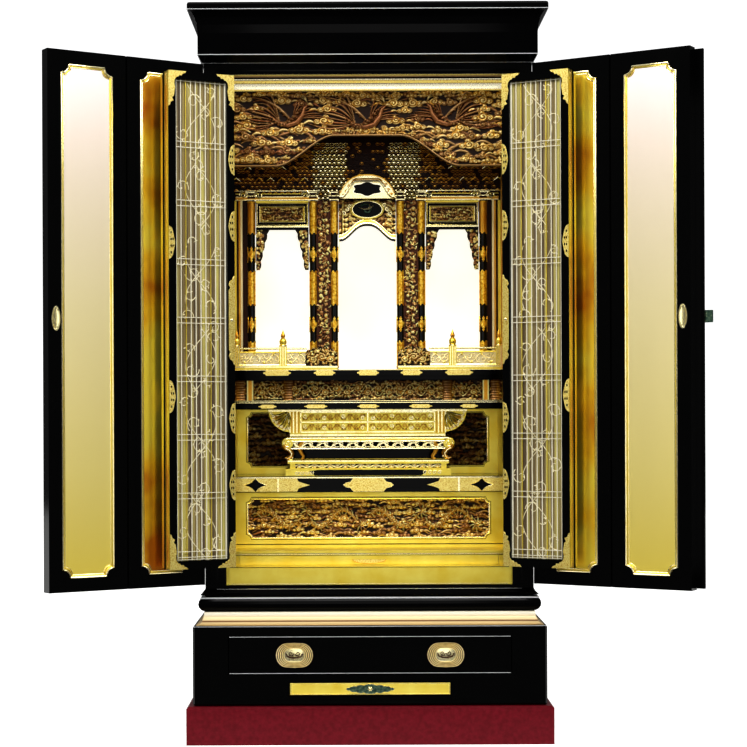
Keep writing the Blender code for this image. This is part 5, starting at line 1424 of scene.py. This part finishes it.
def build_side_posts():
    """Upright mouldings between each outer pillar and the lining."""
    top = node_box("side_transom_left")[1].z
    for side, word in SIDES:
        shape = Shape(BROWN, CREAM, LEAF, DEEP_GOLD)
        for x0, x1, behind, slot in ((298.6, 304.6, 222, 2), (294.0, 298.5, 228, 0), (289.5, 293.9, 226, 3),
                                     (285.0, 289.4, 220, 1), (272.0, 284.9, 230, 0)):
            a, b = sorted((side * x0, side * x1))
            shape.box((a, deep(behind), PILLAR_FOOT + 1), (b, deep(238), top), slot)
        x = side * LINING
        for behind, wide, out, slot in ((110, 14, 3.5, 2), (140, 8, 2.5, 1), (160, 20, 3.0, 3)):
            a, b = sorted((x, x - side * out))
            shape.box((a, deep(behind), PILLAR_FOOT + 2), (b, deep(behind) + wide, 1240), slot)
        shape.build(f"side_mouldings_{word}", CABINET, 30)


# Doors

# Hinge of the outer leaf in X and Y, its turn in degrees, and its seam's distance from the hinge
OUTER_PIN, OUTER_TURN, SEAM = (359.0, -252.0), 148.0, 180.0
LEAF_THICK = 28.0
# The same for the screens, whose seam also stands off the leaf's face
INNER_PIN, INNER_TURN, FOLD = (309.0, -246.0), 151.5, (154.5, 25.5)
DOOR_LOW, DOOR_HIGH = 336.0, 1462.0
SCREEN_LOW, SCREEN_HIGH = 377.0, 1430.0
FINGER_HEIGHT = 904.0
SEAM_PLATES, MEETING_PLATES = (1067, 742), (1249, 1107, 696, 553)
PULL_PLATE_LOW, KNOB_HEIGHT = 810, 906
# Outline of the long plate round the knob: inwards from the edge, and up
PULL_PLATE = ((0, 0), (3, 0), (6, 8), (12, 12), (14.5, 20), (11, 26), (14.5, 32), (14.5, 159), (11, 165),
              (14.5, 171), (12, 179), (6, 183), (3, 191), (0, 191))
SLAT_COUNT, BAR_TOP, BAR_PITCH = 10, 1276, 124
CURL_COUNT = 44


def turned_frame(x, y, degrees):
    """A leaf's own frame: its hinge and its turn about it."""
    return Matrix.Translation((x * MM, y * MM, 0)) @ Matrix.Rotation(math.radians(degrees), 4, "Z")


def leaf_frames(side):
    """Matrices of the two outer leaves and the two screens."""
    outer = turned_frame(side * OUTER_PIN[0], OUTER_PIN[1], side * OUTER_TURN)
    screen = turned_frame(side * INNER_PIN[0], INNER_PIN[1], side * INNER_TURN)
    return (outer, outer @ Matrix.Translation((-side * SEAM * MM, -LEAF_THICK * MM, 0)), screen,
            screen @ turned_frame(-side * FOLD[0], FOLD[1], -side * 180.0))


def door_field(name, body, matrix, side, along, face):
    """The gilt field in a leaf's inner face, with its moulding. face is the inner face's Y."""
    middle = -side * (along[0] + along[1]) / 2
    half = (along[1] - along[0]) / 2 - 30
    half_z = (DOOR_HIGH - DOOR_LOW) / 2 - 29
    centre = (middle, (DOOR_LOW + DOOR_HIGH) / 2)
    # The hinged leaves' fields take the leaf painted with the screens' shade and reflection; the free leaves'
    # fields are painted paler towards the top.
    shape = Shape(SCREEN_SHADED_LEAF if "hinged" in name else FIELD, BRIGHT, LEAF)
    floor = face - 4.0
    outline = notched(half - 0.5, half_z - 0.5, 17, centre)
    outline = counter(outline)
    rows = [[(x, y, z) for x, z in outline] for y in (floor + 0.2, floor + 1.2)]
    shape.rings(rows, 0)
    for inset, radius, lift, slot in ((1.6, 1.9, 3.4, 1), (4.6, 1.3, 2.0, 2), (6.6, 0.9, 1.5, 1)):
        loop = notched(half - inset, half_z - inset, 17, centre)
        shape.along(loop, floor + lift, radius, 8, slot, True)
    shape.build(name, body, 40, matrix)


def finger_plate(name, body, matrix, x, face):
    """An oval plate with a sunk middle, near a leaf's free edge."""
    shape = Shape(BRIGHT, LEAF)
    def ring(rx, rz, out):
        return [(u, face + out, w) for u, w in oval(x, FINGER_HEIGHT, rx, rz)][::-1]
    shape.rings([ring(10, 26, 0), ring(9.6, 25.6, 1.2), ring(8, 23.5, 1.6), ring(6.8, 21, 0.7),
                 ring(5.5, 18, 0.5), ring(0.5, 2, 0.4)], 0)
    shape.build(name, body, 40, matrix, "brass")


def corner_plate(shape, x, z, sx, sz, y):
    """An L-shaped fitting at a leaf's corner, its ends cut in ogees. sx and sz point inwards."""
    reach, tall, wide = 42.0, 76.0, 17.0
    outline = [(0, 0), (reach, 0), (reach - 3, 4), (reach - 9, 6), (reach - 11, 10), (reach - 16, 9),
               (reach - 19, wide - 4), (wide + 3, wide - 4), (wide - 2, wide + 2), (wide - 3, wide + 10),
               (wide - 1, wide + 18), (wide - 4, tall - 22), (wide - 8, tall - 19), (wide - 5, tall - 12),
               (wide - 11, tall - 9), (4, tall - 3), (0, tall)]
    shape.plate([(x + sx * u, z + sz * w) for u, w in outline], y, 0.9, 0, 0.25)


def half_oval(shape, x, z, sx, tall, y):
    """A pierced half-oval fitting on a leaf's edge."""
    count, wide = 20, 14.5
    outline = [(x, z - tall / 2)]
    for i in range(count + 1):
        a = -math.pi / 2 + math.pi * i / count
        lobe = 1 - 0.09 * abs(math.sin(3 * a))
        outline.append((x + sx * wide * math.cos(a) * lobe, z + tall / 2 * math.sin(a)))
    outline.append((x, z + tall / 2))
    shape.plate(outline, y, 0.9, 0, 0.25)
    for k in (-0.3, -0.1, 0.1, 0.3):
        for u in (0.36, 0.66):
            if u < 0.5 or abs(k) < 0.2:
                shape.plate(oval(x + sx * wide * u, z + tall * k, 1.6, 3.0, 10), y - 0.15, 0.3, 1)


def screen_face(shape, left, right, out, lattice_y):
    """Slats and cross bars before the silk on one face of a screen. out is the face's direction."""
    z0, z1 = SCREEN_LOW + 18, SCREEN_HIGH - 18
    y0, y1 = sorted((lattice_y, lattice_y + out * 2.2))
    for k in range(SLAT_COUNT + 1):
        x = left + 1.5 + (right - left - 3) * k / SLAT_COUNT
        wide = 1.5 if k in (0, SLAT_COUNT) else 0.75
        shape.box((x - wide, y0, z0), (x + wide, y1, z1), 2 if k in (2, 7) else 0)
    levels = [z1 - 2, z0 + 2]
    for k in range(8):
        levels += [BAR_TOP - BAR_PITCH * k - 6, BAR_TOP - BAR_PITCH * k + 6]
    y0, y1 = sorted((lattice_y + out * 2.3, lattice_y + out * 3.3))
    for z in levels:
        shape.box((left, y0, z - 0.6), (right, y1, z + 0.6), 0)


def silk_vines(shape, left, right, y, out, seed):
    """Arabesques on the silk: two bending stems with large curled shoots and small leaves."""
    rng = np.random.default_rng(seed)
    wide = right - left
    z0, z1 = SCREEN_LOW + 24, SCREEN_HIGH - 24
    centre, run = (left + right) / 2, z1 - z0

    def stem(t, phase):
        return centre + 0.3 * wide * math.sin(math.tau * 4.2 * t + phase), z0 + run * t
    for phase in (0.4, 2.9):
        line = [stem(t, phase) for t in np.linspace(0, 1, 150)]
        for i in range(0, 140, 26):
            shape.along(line[i:i + 21], y + out * 0.5, 0.9, 5, 1)
    for i in range(CURL_COUNT):
        x, z = stem((i + 0.4) / CURL_COUNT, 0.4 if i % 2 else 2.9)
        hand = 1 if (i // 2) % 2 else -1
        radius = rng.uniform(11, 20)
        cx = min(max(x - hand * radius * 0.7, left + radius), right - radius)
        curl = spiral(cx, z, rng.uniform(0, math.tau), radius, rng.uniform(0.7, 1.2), hand, 24, 0.2)
        shape.curl(curl, y + out * 0.6, (1.1, 0.6), 5, 1)
        for k in range(4):
            u, w = curl[3 + 5 * k]
            a = rng.uniform(0, math.tau)
            tip = (min(max(u + 6 * math.cos(a), left + 1), right - 1), w + 6 * math.sin(a))
            shape.tube([(u, y + out * 0.6, w), ((u + tip[0]) / 2, y + out * 0.7, (w + tip[1]) / 2),
                        (tip[0], y + out * 0.6, tip[1])], [0.6, 1.5, 0.4], 5, 1)


def build_doors():
    """Fields, slats, embroidery and fittings on the folding leaves."""
    for side, word in SIDES:
        outer, free, screen, fold = leaf_frames(side)
        door_field(f"door_field_{word}_hinged", f"outer_{word}_hinged", outer, side, (2.6, 177.0), 0.0)
        door_field(f"door_field_{word}_free", f"outer_{word}_free", free, side, (0.5, 178.0), LEAF_THICK)
        finger_plate(f"finger_plate_{word}", f"outer_{word}_free", free, -side * 160.5, LEAF_THICK)

        for leaf, matrix, along, lift in (("hinged", screen, (1.5, 151.5), 0.0),
                                          ("free", fold, (0.5, 153.5), -25.5)):
            name = f"screen_{leaf}_{word}"
            shape = Shape(SLAT, THREAD, LEAF)
            x0, x1 = sorted((-side * (along[0] + 18), -side * (along[1] - 18)))
            middle = 13 + lift
            for out in (-1, 1):
                screen_face(shape, x0, x1, out, middle + out * 3.2)
                silk_vines(shape, x0, x1, middle + out * 1.5, out, 7 + (out > 0))
            shape.build(f"{name}_lattice", f"inner_{word}_{leaf}", 40, matrix)

            shape = Shape(FITTING, LACQUER, BRIGHT, LEAF, DEEP_GOLD)
            hinge_x, end_x = -side * along[0], -side * along[1]
            for y, before in ((2 + lift - 0.9, True), (24 + lift + 0.02, False)):
                for z, sz in ((SCREEN_LOW, 1), (SCREEN_HIGH, -1)):
                    corner_plate(shape, hinge_x, z, -side, sz, y)
                    corner_plate(shape, end_x, z, side, sz, y)
                fold_x, meet_x = (end_x, hinge_x) if leaf == "hinged" else (hinge_x, end_x)
                toward = side if fold_x == end_x else -side
                for z in SEAM_PLATES:
                    half_oval(shape, fold_x, z, toward, 70, y)
                for z in MEETING_PLATES:
                    half_oval(shape, meet_x, z, -toward, 66, y)
                plate = [(meet_x - toward * u, PULL_PLATE_LOW + w) for u, w in PULL_PLATE]
                shape.plate(plate, y, 0.9, 0, 0.25)
                knob = meet_x - toward * 7.5
                if before:
                    shape.rings([[(knob + r * math.cos(a), y - d, KNOB_HEIGHT + r * math.sin(a))
                                  for a in (math.tau * k / 14 for k in range(14))]
                                 for r, d in ((3.2, -0.2), (3.4, 1.0), (2.4, 2.2), (0.6, 2.8))][::-1], 2)
            edge = -side * (along[1] if leaf == "hinged" else along[0])
            out = -side if leaf == "hinged" else side
            y0 = 2 + lift
            for a, b, slot in ((0.6, 8.6, 3), (9.2, 11.6, 2), (12.2, 15.4, 4), (16.0, 21.4, 3)):
                xs = sorted((edge, edge + out * 0.45))
                shape.box((xs[0], y0 + a, SCREEN_LOW + 1), (xs[1], y0 + b, SCREEN_HIGH - 1), slot)
            shape.build(f"{name}_fittings", f"inner_{word}_{leaf}", 30, matrix)


# Base: pulls, plaque, ornament

def build_base_trim():
    """Drawer pulls, the plaque's ornament and its gilt lines."""
    for side, word in SIDES:
        low, high = node_box(f"drawer_pull_{word}")
        cx, cz = (low.x + high.x) / 2, (low.z + high.z) / 2
        back = high.y
        shape = Shape(BRIGHT, CREAM, BROWN)

        def ring(scale, out, waves=0.0, count=72):
            made = []
            for i in range(count):
                a = math.tau * i / count
                r = scale * (1 + waves * math.cos(24 * a))
                bulge = 13.5 * scale
                made.append((cx + math.copysign(bulge, math.cos(a)) * min(1, abs(math.cos(a)) * 3)
                             + 27 * r * math.cos(a), back - out, cz + 27 * r * math.sin(a)))
            return made
        shape.rings([ring(1.0, 0), ring(1.0, 1.6), ring(0.97, 2.0), ring(0.96, 0.4)], 2)
        for scale in (0.95, 0.85, 0.75, 0.65, 0.56):
            shape.rings([ring(scale + 0.025, 0.3), ring(scale + 0.02, 2.2, 0.01), ring(scale, 3.2, 0.01),
                         ring(scale - 0.03, 2.2, 0.01), ring(scale - 0.035, 0.3)], 1)
        shape.rings([ring(0.53, 0.4), ring(0.53, 1.6), ring(0.5, 1.8)], 0)
        bail = [(cx + 17 * math.cos(a), back - 4.6, cz + 1.5 + 7 * math.sin(a))
                for a in np.linspace(math.pi, math.tau, 19)]
        shape.tube(bail, np.concatenate([np.linspace(1.0, 1.7, 10), np.linspace(1.7, 1.0, 9)]), 8, 2)
        for lean in (-1, 1):
            shape.tube([(cx + lean * 17, back - 1, cz + 2.5), (cx + lean * 17, back - 5.6, cz + 2.5)],
                       1.8, 10, 2)
            shape.curl(spiral(cx + lean * 7, cz + 3.5, math.pi / 2 * (1 + lean), 5.6, 1.3, lean, 18),
                       back - 2.8, (1.3, 0.7), 8, 2)
        shape.build(f"pull_{word}", "base_drawer", 40, slot="brass", replaces=f"drawer_pull_{word}")

    low, high = node_box("base_ornament")
    cx, cz = (low.x + high.x) / 2, (low.z + high.z) / 2
    rx, rz = (high.x - low.x) / 2, (high.z - low.z) / 2
    shape = Shape(BRONZE, BRIGHT)
    lobes = ((0.0, 0.36, 1.0), (0.4, 0.24, 0.82), (0.68, 0.2, 0.6), (0.9, 0.1, 0.3))
    reach = []
    for share in np.linspace(-1, 1, 97):
        tall = max(height * math.sqrt(max(0.0, 1 - ((abs(share) - centre) / wide) ** 2))
                   for centre, wide, height in lobes)
        reach.append((rx * share, rz * max(tall, 0.02)))
    outline = [(cx + x, cz + z) for x, z in reach] + [(cx + x, cz - z) for x, z in reversed(reach[1:-1])]
    shape.plate(outline, low.y + 0.8, 2.2, 0, 0.5)
    shape.along(outline, low.y + 0.7, 0.55, 6, 1, True)
    for side, _ in SIDES:
        for k in range(4):
            curl = spiral(cx + side * (10 + 9.5 * k), cz + (1 if k % 2 else -1), 0.5 + k, 4.4 - 0.5 * k,
                          1.2,
                          side if k % 2 else -side, 16)
            shape.along(curl, low.y + 0.6, np.linspace(1.2, 0.6, 16), 6, 0)
    for k in range(6):
        a = math.tau * k / 6
        shape.tube([(cx, low.y + 0.4, cz), (cx + 3 * math.cos(a), low.y + 0.1, cz + 3 * math.sin(a)),
                    (cx + 5.6 * math.cos(a), low.y + 0.6, cz + 5.0 * math.sin(a))], [0.7, 1.5, 0.5], 6, 1)
    shape.build("plaque_ornament", CABINET, 40, slot="green_bronze", replaces="base_ornament")

    low, high = node_box("base_plaque")
    shape = Shape(BRIGHT, LEAF)
    shape.frame(low.x + 1.5, high.x - 1.5, low.z + 1.5, high.z - 1.5, low.y, 0.7, 6, 0)
    low, high = node_box("front_frame")
    tab = [(38 * math.cos(a), 325.4 - 3.4 * math.sin(a)) for a in np.linspace(0, math.pi, 17)]
    shape.plate(tab + [(-38, 325.8), (38, 325.8)], low.y - 0.7, 0.7, 1)
    shape.build("front_gilt_lines", CABINET, 40)


# Height, half width, front and radius of the painted highlight lines on the edges that run round three sides,
# and along the front
ROUND_EDGES = ((1570.8, 386.6, -301.2, 0.9), (1477.0, 365.6, -280.2, 1.0), (1463.2, 357.0, -256.0, 0.5),
               (309.2, 363.0, -279.0, 2.0), (250.9, 377.0, -305.4, 0.8))
FRONT_EDGES = ((326.0, 330.0, -250.2, 0.7), (229.0, 300.0, -307.0, 0.6), (151.2, 300.0, -307.0, 0.6))
BACK_END = 296.0


def build_highlight_lines():
    """Pale lines on the edges of the cornice, the foot board, the base and the drawer: painted highlights."""
    shape = Shape(EDGE_HIGHLIGHT)
    for z, half, front, radius in ROUND_EDGES:
        corners = [(-half, BACK_END, z), (-half, front, z), (half, front, z), (half, BACK_END, z)]
        shape.tube(corners, radius, 6)
    for z, half, front, radius in FRONT_EDGES:
        shape.bar(-half, half, front, z, radius, 6)
    shape.build("edge_highlight_lines", CABINET, 40, slot="black_lacquer")


# Stage, lights and camera

def build_stage():
    """A pale floor that runs back into a pale room."""
    mesh = bpy.data.meshes.new("floor")
    mesh.from_pydata([(-9, -0.75, 0), (9, -0.75, 0), (9, 9, 0), (-9, 9, 0)], [], [(0, 1, 2, 3)])
    floor = bpy.data.objects.new("floor", mesh)
    bpy.context.scene.collection.objects.link(floor)
    pale, _, shader = new_material("pale_floor", (0.9, 0.9, 0.9), 0.9, Specular_IOR_Level=0.0)
    shader.inputs["Emission Color"].default_value = (1.0, 1.0, 1.0, 1.0)
    shader.inputs["Emission Strength"].default_value = 0.62
    mesh.materials.append(pale)
    world = bpy.data.worlds.new("studio")
    bpy.context.scene.world = world
    world.use_nodes = True
    tree = world.node_tree
    background = tree.nodes["Background"]
    where = add_node(tree, "ShaderNodeTexCoord")
    split = add_node(tree, "ShaderNodeSeparateXYZ")
    tree.links.new(where.outputs["Generated"], split.inputs["Vector"])
    tree.links.new(ramp(tree, split.outputs["Z"], ((0.0, (0.1, 0.1, 0.1)), (0.22, (0.12, 0.12, 0.12)),
                                                   (0.6, (0.62, 0.62, 0.6)))),
                   background.inputs["Color"])
    background.inputs["Strength"].default_value = 1.0
    path = add_node(tree, "ShaderNodeLightPath")
    seen = add_node(tree, "ShaderNodeBackground")
    seen.inputs["Color"].default_value = (1.0, 1.0, 1.0, 1.0)
    seen.inputs["Strength"].default_value = 1.0
    mixed = add_node(tree, "ShaderNodeMixShader")
    tree.links.new(path.outputs["Is Camera Ray"], mixed.inputs["Fac"])
    tree.links.new(background.outputs["Background"], mixed.inputs[1])
    tree.links.new(seen.outputs["Background"], mixed.inputs[2])
    tree.links.new(mixed.outputs["Shader"], tree.nodes["World Output"].inputs["Surface"])


def softbox(name, at, target, size, radiance):
    """A rectangular light of even brightness, turned to a target."""
    light = bpy.data.lights.new(name, "AREA")
    light.shape = "RECTANGLE"
    light.size, light.size_y = size
    light.energy = radiance * math.pi * size[0] * size[1]
    light.color = (1.0, 0.98, 0.95)
    made = bpy.data.objects.new(name, light)
    bpy.context.scene.collection.objects.link(made)
    made.location = at
    made.rotation_euler = (Vector(target) - Vector(at)).to_track_quat("-Z", "Y").to_euler()


def build_lights():
    softbox("front_softbox", (0.04, -4.9, 1.05), (0, 0, 1.0), (1.1, 2.1), 1.7)
    softbox("top_softbox", (0.0, -1.9, 2.9), (0, -0.1, 0.8), (2.4, 0.6), 9.0)
    for side, word in SIDES:
        softbox(f"{word}_softbox", (side * 2.0, -2.2, 2.9), (-side * 0.4, -0.3, 1.0), (0.9, 1.0), 7.0)
        softbox(f"{word}_fill", (side * 2.4, -3.6, 0.9), (-side * 0.2, -0.2, 0.8), (0.8, 1.4), 2.6)


CAMERA_AT = (-0.04, -4.357, 0.7019)
CASE_DISTANCE = 4.115        # from the camera to the case's front
LENS, SENSOR = 91.5, 36.0
SHIFT = (0.0062, 0.0556)
CAMERA_ROLL = 0.218


def build_camera():
    data = bpy.data.cameras.new("camera")
    data.sensor_width = SENSOR
    data.lens = LENS
    data.shift_x = SHIFT[0] - LENS / SENSOR * CAMERA_AT[0] / CASE_DISTANCE
    data.shift_y = SHIFT[1]
    camera = bpy.data.objects.new("camera", data)
    bpy.context.scene.collection.objects.link(camera)
    camera.location = CAMERA_AT
    camera.rotation_euler = (math.radians(90), math.radians(CAMERA_ROLL), 0)
    bpy.context.scene.camera = camera


def main():
    for step in (dress_nodes, build_lintel, build_ranma, build_canopy_brackets, build_beams, build_gable,
                 build_arch, build_transoms, build_pillars, build_railings, build_reliefs,
                 build_board_fittings, build_panels, build_waist, build_table, build_side_posts,
                 build_doors, build_base_trim, build_highlight_lines, build_stage, build_lights, build_camera):
        step()
    bpy.context.scene.view_settings.view_transform = "Standard"
    bpy.context.scene.view_settings.look = "Medium High Contrast"


main()
